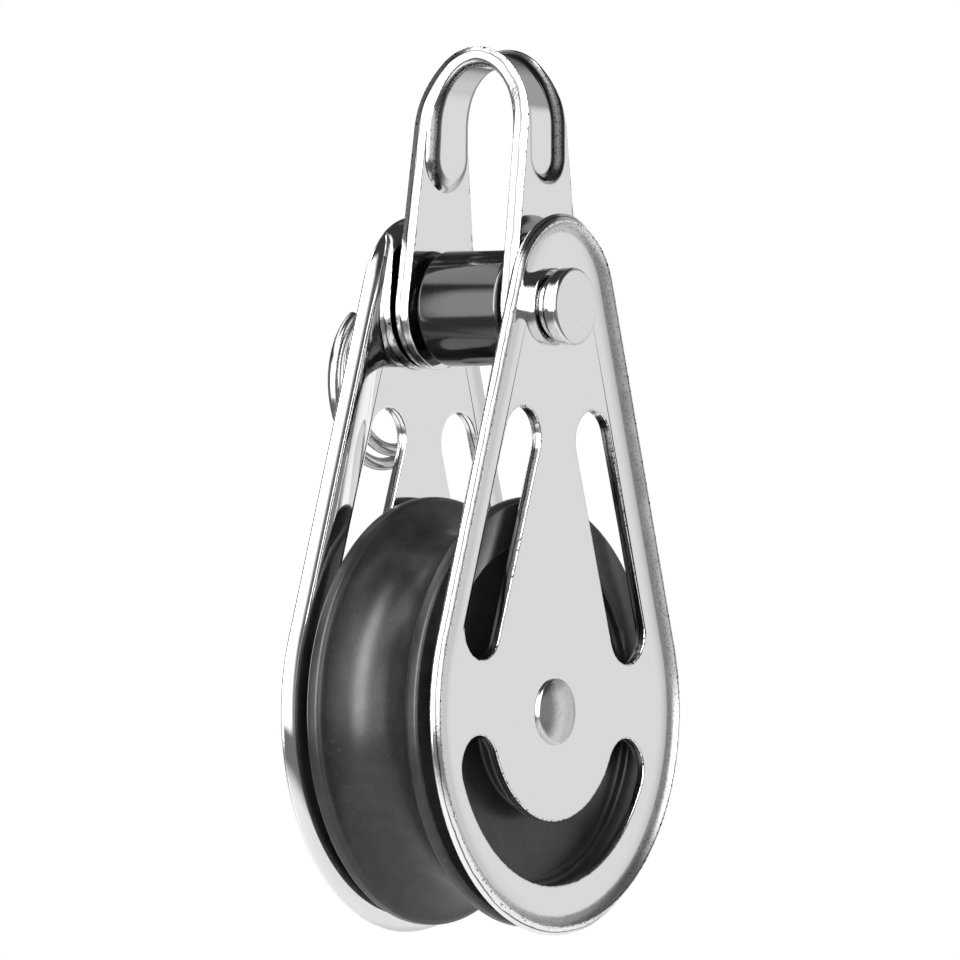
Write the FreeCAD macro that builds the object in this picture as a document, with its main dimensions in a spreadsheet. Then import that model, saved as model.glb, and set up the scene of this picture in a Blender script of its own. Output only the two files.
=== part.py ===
# A single sheave block for small-boat rigging, in millimetres.
#
# Two stamped cheeks with flared rims carry a grooved sheave on a riveted axle. A bow bent
# from strip swings on a clevis pin between their upper ends, and a split ring keeps the pin.
#
# The origin is the middle of the sheave. Y runs along the axle, from the pin's head (-Y) to
# the split ring (+Y). Z points up to the bow and X runs across the cheeks.

import math
import os
from collections import namedtuple

import FreeCAD
import Part
import Sketcher
from FreeCAD import Placement, Rotation, Vector

SIZES = (
    ("sheave_diameter", 42.0, "over the flanges"),
    ("sheave_width", 13.0, "over the flanges"),
    ("tread_diameter", 34.4, "at the bottom of the rope groove"),
    ("groove_width", 10.1, "rope groove at its mouth"),
    ("flange_break", 0.35, "chamfer of the four flange edges"),
    ("web_width", 11.0, "sheave between the recesses of its sides"),
    ("recess_diameter", 33.2, "outer diameter of the recesses"),
    ("hub_diameter", 18.6, "hub that keeps the flanges off the cheeks"),
    ("hub_break", 0.35, "chamfer of the hubs and at the foot of the recesses"),
    ("hub_clearance", 0.2, "side play between the hub and each cheek"),
    ("tube_diameter", 8.0, "axle tube, outside"),
    ("tube_wall", 1.45, "axle tube"),
    ("bush_wall", 0.95, "bearing bush"),
    ("bearing_clearance", 0.05, "radial, between the bush and the axle tube"),
    ("bush_inset", 0.25, "bush below each face of the hub"),
    ("rivet_diameter", 5.0, "rivet shank"),
    ("rivet_clearance", 0.05, "radial, in the cheeks and the tube"),
    ("rivet_head", 6.5, "diameter of both heads"),
    ("rivet_rise", 0.95, "height of the domed heads"),
    ("rivet_edge", 0.3, "height of the heads at their edge"),
    ("cheek_gap", 14.8, "between the cheeks' inner faces"),
    ("cheek_sheet", 1.1, "sheet of the cheeks"),
    ("cheek_belly", 21.75, "largest radius of the rim about the axle"),
    ("cheek_head", 9.1, "largest radius of the rim about the pin"),
    ("dish_radius", 14.0, "gentle curve that leads into the rim"),
    ("dish_angle", 8.0, "its turn"),
    ("flare_radius", 1.7, "inside radius of the rim's bend"),
    ("flare_angle", 55.0, "the rim's slope to the cheek's face"),
    ("edge_break", 0.2, "chamfers of the rim's edge"),
    ("slot_radius", 3.06, "end radius of the two slots"),
    ("slot_top_across", 6.15, "centre of the slots' upper end"),
    ("slot_top_height", 26.5, "centre of the slots' upper end"),
    ("slot_foot_across", 12.75, "centre of the slots' lower end"),
    ("slot_foot_height", 7.9, "centre of the slots' lower end"),
    ("window_outside", 17.2, "outer radius of the crescent window"),
    ("window_inside", 10.95, "inner radius of the crescent window"),
    ("window_rise", 0.25, "centre of the crescent above the axle"),
    ("window_tip", 5.85, "centres of its round tips below its own centre"),
    ("cutout_break", 0.12, "chamfer of the stamped edges of slots and window"),
    ("pin_height", 39.5, "clevis pin above the axle"),
    ("pin_diameter", 6.0, "clevis pin shank"),
    ("pin_clearance", 0.1, "radial, in the cheeks, the bow and the sleeve"),
    ("pin_head", 7.6, "diameter of its head"),
    ("pin_head_height", 1.4, "thickness of its head"),
    ("pin_head_break", 0.35, "chamfer of the head's edge"),
    ("pin_play", 0.5, "head to the front cheek"),
    ("pin_tail", 1.75, "cross-hole to the end of the tail"),
    ("pin_chamfer", 0.6, "chamfer at the tail"),
    ("sleeve_diameter", 11.34, "black sleeve on the pin"),
    ("sleeve_length", 9.4, "black sleeve on the pin"),
    ("sleeve_break", 0.4, "chamfer of its ends"),
    ("bow_sheet", 1.6, "strip of the bow's legs"),
    ("bow_crown_sheet", 1.3, "strip where it is stretched over the crown"),
    ("bow_spread", 7.05, "outer face of a leg from the middle, at the pin"),
    ("bow_lean", 1.0, "inward lean of the legs, in degrees"),
    ("bow_top", 65.2, "top of the crown above the axle"),
    ("crown_radius", 5.7, "outside radius of the crown"),
    ("shoulder_height", 57.0, "where the legs turn into the crown"),
    ("bow_end_radius", 6.0, "round lower ends of the legs, about the pin"),
    ("bow_taper", 7.9, "slope of the legs' sides, in degrees"),
    ("bow_neck", 5.7, "width of the strip over the crown"),
    ("neck_blend", 30.0, "curve between the taper and the neck"),
    ("bead_groove", 6.2, "width of the pressed bead on the bow's outside"),
    ("bead_ridge", 7.0, "its width on the inside of the legs"),
    ("bead_depth", 0.8, "depth of the bead"),
    ("bead_wall", 1.4, "run of the bead's sloping walls"),
    ("bead_foot", 54.4, "centre of the bead's round ends above the axle"),
    ("ring_wire", 1.3, "wire of the split ring"),
    ("ring_small", 7.05, "radius of its turn beside the cheek, to the wire's middle"),
    ("ring_large", 7.75, "radius of its outer turn, to the wire's middle"),
    ("ring_pitch", 1.3, "advance of a turn of mean radius, along the pin"),
    ("ring_gap", 32.0, "each wire end stops this far short of the pin, in degrees"),
    ("ring_room", 0.65, "its near turn to the back cheek's rim"),
    ("cross_hole", 2.5, "hole for the ring through the pin"),
)

doc = FreeCAD.newDocument("bearing_block")
size = doc.addObject("Spreadsheet::Sheet", "size")
for row, (alias, value, note) in enumerate(SIZES, 1):
    size.set(f"A{row}", alias)
    size.set(f"B{row}", str(value))
    size.set(f"C{row}", note)
    size.setAlias(f"B{row}", alias)
doc.recompute()

CHEEK_INSIDE = "(size.cheek_gap / 2)"
CHEEK_OUTSIDE = "(size.cheek_gap / 2 + size.cheek_sheet)"
HUB_FACE = "(size.cheek_gap / 2 - size.hub_clearance)"
BUSH_BORE = "(size.tube_diameter / 2 + size.bearing_clearance)"
BUSH_OUTSIDE = f"({BUSH_BORE} + size.bush_wall)"
BUSH_END = f"({HUB_FACE} - size.bush_inset)"
TUBE_BORE = "(size.tube_diameter / 2 - size.tube_wall)"
PIN_HOLE = "(size.pin_diameter / 2 + size.pin_clearance)"
RIVET_HOLE = "(size.rivet_diameter / 2 + size.rivet_clearance)"
INNER_CROWN = "(size.crown_radius - size.bow_crown_sheet)"
RING_SLOPE = "(size.ring_pitch / (pi * (size.ring_large + size.ring_small)))"
RING_ARCS = 6  # arcs in each turn of the split ring


def number(expression):
    """Value of an expression on the sheet, for the first place of a sketch's geometry."""
    value = size.evalExpression(expression)
    return float(getattr(value, "Value", value))


def new_body(name):
    body = doc.addObject("PartDesign::Body", name)
    body.Label = name
    return body


def origin_plane(body, role):
    return next(item for item in body.Origin.OriginFeatures if item.Role == role)


def new_sketch(body, name, role):
    sketch = body.newObject("Sketcher::SketchObject", f"{body.Name}_{name}")
    sketch.AttachmentSupport = (origin_plane(body, role), [""])
    sketch.MapMode = "FlatFace"
    return sketch


def bind(sketch, expression, kind, *where):
    """Add a dimension whose value comes from the sheet."""
    index = sketch.addConstraint(Sketcher.Constraint(kind, *where, number(expression)))
    sketch.setExpression(f"Constraints[{index}]", expression)


def hold(sketch, geometry, point, across, up):
    """Hold a point of the sketch at a place that the sheet gives."""
    for expression, kind, axis in ((across, "DistanceX", -2), (up, "DistanceY", -1)):
        if expression == "0":
            sketch.addConstraint(Sketcher.Constraint("PointOnObject", geometry, point, axis))
        else:
            bind(sketch, expression, kind, -1, 1, geometry, point)


def arc_between(first, last, centre):
    """Arc the short way round from first to last, and which of its ends is first."""
    turn = (first - centre).cross(last - centre).z
    start, end = (first, last) if turn > 0 else (last, first)
    angles = [math.atan2(p.y - centre.y, p.x - centre.x) for p in (start, end)]
    circle = Part.Circle(centre, Vector(0, 0, 1), (first - centre).Length)
    return Part.ArcOfCircle(circle, *angles), turn > 0


Corner = namedtuple("Corner", "across up radius side", defaults=(None, 1))


def outline(sketch, corners):
    """Closed outline through corners; one with a radius starts an arc that bulges to its side.

    Side 1 puts the arc's centre on the left of the way to the next corner, -1 on the right.
    """
    places = [Vector(number(c.across), number(c.up), 0) for c in corners]
    ends = []
    for corner, here, there in zip(corners, places, places[1:] + places[:1]):
        if corner.radius is None:
            index = sketch.addGeometry(Part.LineSegment(here, there))
            ends.append((index, 1, 2))
            continue
        chord = there - here
        radius = number(corner.radius)
        reach = math.sqrt(max(radius ** 2 - (chord.Length / 2) ** 2, 0))
        left = Vector(-chord.y, chord.x, 0).normalize()
        arc, forward = arc_between(here, there, (here + there) / 2 + left * reach * corner.side)
        index = sketch.addGeometry(arc)
        ends.append((index, 1, 2) if forward else (index, 2, 1))
        bind(sketch, corner.radius, "Radius", index)
    for corner, (index, start, _), (before, _, end) in zip(corners, ends, ends[-1:] + ends[:-1]):
        sketch.addConstraint(Sketcher.Constraint("Coincident", before, end, index, start))
        hold(sketch, index, start, corner.across, corner.up)


def hull(sketch, low, high):
    """Outline round two circles and along their common tangents; a circle is (x, y, radius)."""
    centres = [Vector(number(x), number(y), 0) for x, y, _ in (low, high)]
    radii = [number(radius) for _, _, radius in (low, high)]
    axis = centres[1] - centres[0]
    lean = math.asin((radii[0] - radii[1]) / axis.Length)
    heading = math.atan2(axis.y, axis.x)
    turns = (heading - math.pi / 2 + lean, heading + math.pi / 2 - lean)
    spots = [
        [c + Vector(math.cos(a), math.sin(a), 0) * r for a in turns]
        for c, r in zip(centres, radii)
    ]
    circles = [Part.Circle(c, Vector(0, 0, 1), r) for c, r in zip(centres, radii)]
    foot = sketch.addGeometry(Part.ArcOfCircle(circles[0], turns[1], turns[0] + 2 * math.pi))
    right = sketch.addGeometry(Part.LineSegment(spots[0][0], spots[1][0]))
    head = sketch.addGeometry(Part.ArcOfCircle(circles[1], turns[0], turns[1]))
    left = sketch.addGeometry(Part.LineSegment(spots[1][1], spots[0][1]))
    chain = (foot, right, head, left)
    for one, other in zip(chain, chain[1:] + chain[:1]):
        sketch.addConstraint(Sketcher.Constraint("Tangent", one, 2, other, 1))
    for arc, (x, y, radius) in ((foot, low), (head, high)):
        hold(sketch, arc, 3, x, y)
        bind(sketch, radius, "Radius", arc)


def pad(body, sketch, length):
    feature = body.newObject("PartDesign::Pad", f"{sketch.Name}_pad")
    feature.Profile = sketch
    feature.setExpression("Length", length)
    return feature


def cut_through(body, sketch):
    """Cut a sketch's outline right through the body, to both sides of its plane."""
    doc.recompute()
    before = body.Shape.Volume
    feature = body.newObject("PartDesign::Pocket", f"{sketch.Name}_cut")
    feature.Profile = sketch
    feature.SideType = "Symmetric"
    feature.Type = "ThroughAll"
    doc.recompute()
    if not body.Shape.Volume < before - 1e-6:
        raise RuntimeError(f"{feature.Name} cuts nothing")
    return feature


def turn(body, sketch):
    """Turn a profile about the axle's direction; its sketch has radius across and Y up."""
    feature = body.newObject("PartDesign::Revolution", f"{sketch.Name}_turned")
    feature.Profile = sketch
    feature.ReferenceAxis = (sketch, ["V_Axis"])
    feature.Angle = 360
    doc.recompute()
    return feature


def sweep(body, kind, name, profile, path, sections=()):
    feature = body.newObject(f"PartDesign::{kind}", f"{body.Name}_{name}")
    feature.Profile = profile
    feature.Spine = path
    if sections:
        feature.Transformation = "Multisection"
        feature.Sections = list(sections)
    return feature


def chamfer_edges(body, name, amount, wanted):
    """Chamfer the edges of the body that pass a test."""
    doc.recompute()
    base = body.Tip
    names = [f"Edge{i}" for i, edge in enumerate(base.Shape.Edges, 1) if wanted(edge)]
    if not names:
        raise RuntimeError(f"{body.Name} has no edges for {name}")
    feature = body.newObject("PartDesign::Chamfer", f"{body.Name}_{name}")
    feature.Base = (base, names)
    feature.setExpression("Size", amount)
    doc.recompute()
    return feature


def mirror_features(body, name, features, role):
    feature = body.newObject("PartDesign::Mirrored", f"{body.Name}_{name}")
    feature.Originals = features
    feature.MirrorPlane = (origin_plane(body, role), [""])
    body.Tip = feature
    doc.recompute()
    return feature


def ring_edges(*places):
    """Test for full circles about the axle's direction at (radius, distance along Y)."""
    spots = [(number(radius), number(along)) for radius, along in places]

    def wanted(edge):
        if not isinstance(edge.Curve, Part.Circle):
            return False
        found = (edge.Curve.Radius, abs(edge.Curve.Center.y))
        return any(math.dist(found, spot) < 1e-4 for spot in spots)

    return wanted


def cutout_edges(*sketches):
    """Test for the edges that these cut-outs, or their mirror images, have on the outer face."""
    outside = number(CHEEK_OUTSIDE)

    def wanted(edge):
        middle = edge.valueAt((edge.FirstParameter + edge.LastParameter) / 2)
        if abs(abs(middle.y) - outside) > number("size.cheek_sheet") / 4:
            return False
        spot = Part.Vertex(abs(middle.x), 0, middle.z)
        return any(sketch.Shape.distToShape(spot)[0] < 1e-4 for sketch in sketches)

    return wanted


def hole(body, name, role, radius, across, up):
    sketch = new_sketch(body, name, role)
    circle = Part.Circle(Vector(number(across), number(up), 0), Vector(0, 0, 1), number(radius))
    sketch.addGeometry(circle)
    hold(sketch, 0, 3, across, up)
    bind(sketch, radius, "Radius", 0)
    return cut_through(body, sketch)


# The rim of a cheek in section. Its sheet turns gently, then sharply, away from the sheave.
# Each point is (outward from the flat, away from the sheave), from the flat's own corner.

def bend_end(offset, angle_two):
    """End of the dish, or of the flare, on the face that lies offset outside both centres."""
    dish = f"(size.dish_radius + {offset})"
    flare = f"(size.flare_radius + {offset})"
    out = f"{dish} * sin(size.dish_angle)"
    away = f"size.cheek_sheet + size.dish_radius - {dish} * cos(size.dish_angle)"
    if angle_two:
        out += f" + {flare} * (sin(size.flare_angle) - sin(size.dish_angle))"
        away += f" + {flare} * (cos(size.dish_angle) - cos(size.flare_angle))"
    return f"({out})", f"({away})"


def rim_reach():
    """How far the rim reaches outward from the flat of its cheek."""
    out, _ = bend_end("size.cheek_sheet", True)
    return out


def rim_rise():
    """How far the rim's edge lies from the flat's inner face."""
    _, away = bend_end("0", True)
    return f"({away} + size.edge_break * (sin(size.flare_angle) - cos(size.flare_angle)))"


def build_cheek(name, about_z):
    """One cheek, drawn for the front; the back one is the same stamping turned round."""
    body = new_body(name)
    belly = f"(size.cheek_belly - {rim_reach()})"
    head = f"(size.cheek_head - {rim_reach()})"

    flat = new_sketch(body, "outline", "XZ_Plane")
    flat.setExpression("AttachmentOffset.Base.z", CHEEK_INSIDE)
    hull(flat, ("0", "0", belly), ("0", "size.pin_height", head))
    pad(body, flat, "size.cheek_sheet")

    section = new_sketch(body, "rim", "YZ_Plane")
    flare, corner = "size.flare_angle", "size.edge_break"

    def place(out, away, radius=None, side=1):
        return Corner(f"-({CHEEK_INSIDE} + {away})", f"-({belly} + {out})", radius, side)

    outer_dish = bend_end("0", False)
    outer_end = bend_end("0", True)
    inner_dish = bend_end("size.cheek_sheet", False)
    inner_end = bend_end("size.cheek_sheet", True)
    outer_tip = (
        f"({outer_end[0]} + {corner} * (cos({flare}) + sin({flare})))",
        f"({outer_end[1]} + {corner} * (sin({flare}) - cos({flare})))",
    )
    inner_tip = (
        f"({inner_end[0]} + {corner} * (cos({flare}) - sin({flare})))",
        f"({inner_end[1]} + {corner} * (sin({flare}) + cos({flare})))",
    )
    outline(section, [
        place("0", "0", "size.dish_radius + size.cheek_sheet", -1),
        place(*inner_dish, "size.flare_radius + size.cheek_sheet", -1),
        place(*inner_end),
        place(*inner_tip),
        place(*outer_tip),
        place(*outer_end, "size.flare_radius", 1),
        place(*outer_dish, "size.dish_radius", 1),
        place("0", "size.cheek_sheet"),
    ])
    sweep(body, "AdditivePipe", "rim_sweep", section, flat)

    slot = new_sketch(body, "slot", "XZ_Plane")
    hull(
        slot,
        ("size.slot_foot_across", "size.slot_foot_height", "size.slot_radius"),
        ("size.slot_top_across", "size.slot_top_height", "size.slot_radius"),
    )
    slot_cut = cut_through(body, slot)
    mirror_features(body, "slot_pair", [slot_cut], "YZ_Plane")

    window = new_sketch(body, "window", "XZ_Plane")
    crescent(window)
    cut_through(body, window)
    chamfer_edges(body, "cutout_edges", "size.cutout_break", cutout_edges(slot, window))
    hole(body, "rivet_hole", "XZ_Plane", RIVET_HOLE, "0", "0")
    hole(body, "pin_hole", "XZ_Plane", PIN_HOLE, "0", "size.pin_height")

    body.Placement = Placement(Vector(0, 0, 0), Rotation(Vector(0, 0, 1), about_z))
    return body


def crescent(sketch):
    """Window under the axle: two arcs about one centre, joined by round tips."""
    centre = Vector(0, number("size.window_rise"), 0)
    radii = [number("size.window_outside"), number("size.window_inside")]
    middle, tip = sum(radii) / 2, (radii[0] - radii[1]) / 2
    dip = math.asin(number("size.window_tip") / middle)
    left, right = math.pi + dip, 2 * math.pi - dip
    up = Vector(0, 0, 1)
    outer, inner = (
        sketch.addGeometry(Part.ArcOfCircle(Part.Circle(centre, up, r), left, right)) for r in radii
    )
    tips = []
    for angle, start in ((right, right), (left, left + math.pi)):
        spot = centre + Vector(math.cos(angle), math.sin(angle), 0) * middle
        circle = Part.Circle(spot, up, tip)
        tips.append(sketch.addGeometry(Part.ArcOfCircle(circle, start, start + math.pi)))
    sketch.addConstraint(Sketcher.Constraint("Tangent", outer, 2, tips[0], 1))
    sketch.addConstraint(Sketcher.Constraint("Tangent", tips[0], 2, inner, 2))
    sketch.addConstraint(Sketcher.Constraint("Tangent", inner, 1, tips[1], 1))
    sketch.addConstraint(Sketcher.Constraint("Tangent", tips[1], 2, outer, 1))
    hold(sketch, outer, 3, "0", "size.window_rise")
    sketch.addConstraint(Sketcher.Constraint("Coincident", inner, 3, outer, 3))
    bind(sketch, "size.window_outside", "Radius", outer)
    bind(sketch, "size.window_inside", "Radius", inner)
    for index in tips:
        bind(sketch, "size.window_tip", "DistanceY", index, 3, outer, 3)


def mirrored_profile(corners):
    """Profile of a turned piece from its +Y half: the corners, then their mirror images."""
    below = [Corner(c.across, f"-({c.up})") for c in reversed(corners)]
    return list(corners) + below


def build_sheave():
    body = new_body("sheave")
    depth = "((size.sheave_diameter - size.tread_diameter) / 2)"
    groove_arc = f"((size.groove_width / 2) ^ 2 + {depth} ^ 2) / (2 * {depth})"
    flange, rim = "size.sheave_diameter / 2", "size.recess_diameter / 2"
    hub, web = "size.hub_diameter / 2", "size.web_width / 2"
    half = [
        Corner(flange, "size.groove_width / 2"),
        Corner(flange, "size.sheave_width / 2"),
        Corner(rim, "size.sheave_width / 2"),
        Corner(rim, web),
        Corner(hub, web),
        Corner(hub, HUB_FACE),
        Corner(BUSH_OUTSIDE, HUB_FACE),
    ]
    corners = mirrored_profile(half)
    corners[-1] = Corner(flange, "-(size.groove_width / 2)", groove_arc, -1)
    profile = new_sketch(body, "profile", "XY_Plane")
    outline(profile, corners)
    turn(body, profile)
    flange_edges = ring_edges((flange, "size.sheave_width / 2"), (flange, "size.groove_width / 2"))
    hub_edges = ring_edges((hub, HUB_FACE), (rim, web))
    chamfer_edges(body, "flange_edges", "size.flange_break", flange_edges)
    chamfer_edges(body, "hub_edges", "size.hub_break", hub_edges)
    return body


def build_tube(name, inside, outside, half_length, high="0"):
    """Plain tube about the axle's direction, such as a bush or a sleeve."""
    body = new_body(name)
    profile = new_sketch(body, "profile", "XY_Plane")
    outline(profile, mirrored_profile([Corner(outside, half_length), Corner(inside, half_length)]))
    turn(body, profile)
    body.setExpression("Placement.Base.z", high)
    return body


def build_rivet():
    """Solid rivet, closed by a low dome on each cheek."""
    body = new_body("axle_rivet")
    head, shank = "size.rivet_head / 2", "size.rivet_diameter / 2"
    bulge = "(size.rivet_rise - size.rivet_edge)"
    dome = f"(({head}) ^ 2 + {bulge} ^ 2) / (2 * {bulge})"
    top = f"{CHEEK_OUTSIDE} + size.rivet_rise"
    brim = f"{CHEEK_OUTSIDE} + size.rivet_edge"
    profile = new_sketch(body, "profile", "XY_Plane")
    outline(profile, [
        Corner(shank, f"-{CHEEK_OUTSIDE}"),
        Corner(shank, CHEEK_OUTSIDE),
        Corner(head, CHEEK_OUTSIDE),
        Corner(head, brim, dome, 1),
        Corner("0", top),
        Corner("0", f"-({top})", dome, 1),
        Corner(head, f"-({brim})"),
        Corner(head, f"-{CHEEK_OUTSIDE}"),
    ])
    turn(body, profile)
    return body


def ring_along():
    """Place of the pin's cross-hole along the pin, behind the back cheek's rim."""
    near_turn = f"{RING_SLOPE} * size.ring_small * 2 * pi * (1 - size.ring_gap / 360)"
    return f"({CHEEK_INSIDE} + {rim_rise()} + size.ring_room + {near_turn} + size.ring_wire / 2)"


def build_pin():
    body = new_body("clevis_pin")
    head, shank = "size.pin_head / 2", "size.pin_diameter / 2"
    seat = f"({CHEEK_OUTSIDE} + size.pin_play)"
    face = f"({seat} + size.pin_head_height)"
    tail = f"({ring_along()} + size.pin_tail)"
    profile = new_sketch(body, "profile", "XY_Plane")
    outline(profile, [
        Corner("0", f"-{face}"),
        Corner(head, f"-{face}"),
        Corner(head, f"-{seat}"),
        Corner(shank, f"-{seat}"),
        Corner(shank, f"{tail} - size.pin_chamfer"),
        Corner(f"{shank} - size.pin_chamfer", tail),
        Corner("0", tail),
    ])
    turn(body, profile)
    chamfer_edges(body, "head_edge", "size.pin_head_break", ring_edges((head, face)))
    hole(body, "ring_hole", "YZ_Plane", "size.cross_hole / 2", ring_along(), "0")
    body.setExpression("Placement.Base.z", "size.pin_height")
    return body


def build_sleeve():
    half = "size.sleeve_length / 2"
    outside = "size.sleeve_diameter / 2"
    body = build_tube("pin_sleeve", PIN_HOLE, outside, half, "size.pin_height")
    chamfer_edges(body, "end_edges", "size.sleeve_break", ring_edges((outside, half)))
    return body


def arch(sketch, foot, waist, crown_radius):
    """One line of the bow seen from the side: leg, shoulder, crown, shoulder, leg.

    Foot and waist are places on the +Y leg. The legs are split at the waist, where the bead
    ends, so that the bead can follow the upper pieces. Returns the pieces from +Y to -Y.
    """
    crown = number(crown_radius)
    crown_middle = Vector(0, number("size.bow_top - size.crown_radius"), 0)
    height = number("size.shoulder_height")
    rise = crown_middle.y - height
    low, split = (Vector(number(x), number(y), 0) for x, y in (foot, waist))
    lean = math.atan2(low.x - split.x, split.y - low.y)
    half = low.x - (height - low.y) * math.tan(lean)
    shoulder = (half ** 2 + rise ** 2 - crown ** 2) / (2 * (half - crown))
    centre = Vector(half - shoulder, height, 0)
    touch = centre + Vector(math.cos(lean), math.sin(lean), 0) * shoulder
    meet = crown_middle + (crown_middle - centre).normalize() * crown
    halves = []
    for side in (1, -1):
        flip = [Vector(side * p.x, p.y, 0) for p in (low, split, touch, meet, centre)]
        leg = sketch.addGeometry(Part.LineSegment(flip[0], flip[1]))
        stem = sketch.addGeometry(Part.LineSegment(flip[1], flip[2]))
        arc, forward = arc_between(flip[2], flip[3], flip[4])
        bend = sketch.addGeometry(arc)
        begin, end = (1, 2) if forward else (2, 1)
        sketch.addConstraint(Sketcher.Constraint("Tangent", leg, 2, stem, 1))
        sketch.addConstraint(Sketcher.Constraint("Tangent", stem, 2, bend, begin))
        hold(sketch, leg, 1, foot[0] if side == 1 else f"-{foot[0]}", foot[1])
        hold(sketch, leg, 2, waist[0] if side == 1 else f"-{waist[0]}", waist[1])
        bind(sketch, "size.shoulder_height", "DistanceY", -1, 1, bend, 3)
        halves.append((leg, stem, bend, end, flip[3]))
    over, _ = arc_between(halves[0][4], halves[1][4], crown_middle)
    top = sketch.addGeometry(over)
    for half_line, crown_end in zip(halves, (1, 2)):
        _, _, bend, end, _ = half_line
        sketch.addConstraint(Sketcher.Constraint("Tangent", bend, end, top, crown_end))
    bind(sketch, crown_radius, "Radius", top)
    hold(sketch, top, 3, "0", "size.bow_top - size.crown_radius")
    return halves[0][:3] + (top,) + halves[1][2::-1]


def leg_place(face, height):
    """Distance of a leg's face from the middle at a height; face 0 is outside, 1 inside."""
    sheet = "size.bow_sheet / cos(size.bow_lean)" if face else "0"
    return f"(size.bow_spread - {sheet} - ({height} - size.pin_height) * tan(size.bow_lean))"


def leg_sketch(body, name, face):
    """Sketch across the +Y leg at the bead's end, its own Y pointing out of the bow."""
    sketch = new_sketch(body, name, "XY_Plane")
    sketch.AttachmentOffset = Placement(Vector(0, 0, 0), Rotation(Vector(1, 0, 0), 1))
    sketch.setExpression("AttachmentOffset.Base.y", leg_place(face, "size.bead_foot"))
    sketch.setExpression("AttachmentOffset.Base.z", "size.bead_foot")
    sketch.setExpression("AttachmentOffset.Rotation.Angle", "size.bow_lean")
    return sketch


def ridge_corners(half_width):
    """Right half of the bead's ridge: a flat top and one arc down to a crisp foot."""
    run = f"(size.bead_wall * ({half_width}) * 2 / size.bead_ridge)"
    arc = f"({run} ^ 2 + size.bead_depth ^ 2) / (2 * size.bead_depth)"
    return [
        Corner(f"{half_width} - {run}", "-size.bead_depth", arc, 1),
        Corner(half_width, "0"),
        Corner(half_width, "size.bow_crown_sheet / 2"),
    ]


def groove_corners():
    """Right half of the bead's groove: a flat bottom and walls that turn out smoothly."""
    half = "(size.bead_groove / 2)"
    arc = "(size.bead_wall ^ 2 + size.bead_depth ^ 2) / (4 * size.bead_depth)"
    return [
        Corner(f"{half} - size.bead_wall", "-size.bead_depth", arc, 1),
        Corner(f"{half} - size.bead_wall / 2", "-size.bead_depth / 2", arc, -1),
        Corner(half, "0"),
        Corner(half, "size.bow_sheet / 2"),
    ]


def both_sides(corners):
    """A closed section from its right half."""
    arcs = corners[-2::-1] + [Corner("", "")]
    left = [
        Corner(f"-({corner.across})", corner.up, arc.radius, arc.side)
        for corner, arc in zip(corners[::-1], arcs)
    ]
    return corners + left


def half_section(corners):
    """The right half of a section, closed along its own middle line."""
    return [Corner("0", corners[0].up)] + corners + [Corner("0", corners[-1].up)]


def path_edges(sketch, pieces):
    """Names of the sketch's edges that some of its pieces became."""
    doc.recompute()
    names = []
    for piece in (sketch.Geometry[index] for index in pieces):
        middle = piece.value((piece.FirstParameter + piece.LastParameter) / 2)
        spot = Part.Vertex(sketch.Placement.multVec(middle))
        gaps = [edge.distToShape(spot)[0] for edge in sketch.Shape.Edges]
        names.append(f"Edge{gaps.index(min(gaps)) + 1}")
    return (sketch, names)


def half_round(body, kind, sketch):
    """Turn a half section through half a circle, away from the crown, at the bead's end."""
    feature = body.newObject(f"PartDesign::{kind}", f"{sketch.Name}_turned")
    feature.Profile = sketch
    feature.ReferenceAxis = (sketch, ["V_Axis"])
    feature.Angle = 180
    doc.recompute()
    return feature


def bow_side(body, low):
    """Side view of the bent strip. Returns its sketch and its outer and inner lines."""
    sketch = new_sketch(body, "side", "YZ_Plane")
    lines = []
    for face, radius in enumerate(("size.crown_radius", INNER_CROWN)):
        foot, waist = ((leg_place(face, z), z) for z in (low, "size.bead_foot"))
        lines.append(arch(sketch, foot, waist, radius))
    for end in (0, -1):
        outer, inner = (line[end] for line in lines)
        closing = Part.LineSegment(sketch.getPoint(outer, 1), sketch.getPoint(inner, 1))
        index = sketch.addGeometry(closing)
        sketch.addConstraint(Sketcher.Constraint("Coincident", index, 1, outer, 1))
        sketch.addConstraint(Sketcher.Constraint("Coincident", index, 2, inner, 1))
    return sketch, lines


def bow_trim(body, low):
    """Sketch of what is cut away beside the strip: a frame round its tapered outline."""
    end, slope = "size.bow_end_radius", "size.bow_taper"
    half, blend = "size.bow_neck / 2", "size.neck_blend"
    rest = f"({end} - cos({slope}) * ({half} + {blend} * (1 - cos({slope}))))"
    neck = f"(size.pin_height + {blend} * sin({slope}) + {rest} / sin({slope}))"
    below = f"{neck} - {blend} * sin({slope})"
    over = f"size.bow_top + {end}"
    right = [
        Corner(f"{end} * cos({slope})", f"size.pin_height + {end} * sin({slope})"),
        Corner(f"{half} + {blend} * (1 - cos({slope}))", below, blend, -1),
        Corner(half, neck),
        Corner(half, over),
    ]
    foot = Corner("0", f"size.pin_height - {end}", end, 1)
    left = both_sides(right)[len(right):]
    left[-1] = left[-1]._replace(radius=end, side=1)
    sketch = new_sketch(body, "trim", "XZ_Plane")
    outline(sketch, [foot] + right + left)
    wide, high = f"3 * {end}", f"{over} + {end}"
    outline(sketch, [
        Corner(f"-({wide})", f"{low} - {end}"),
        Corner(wide, f"{low} - {end}"),
        Corner(wide, high),
        Corner(f"-({wide})", high),
    ])
    return sketch


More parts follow.
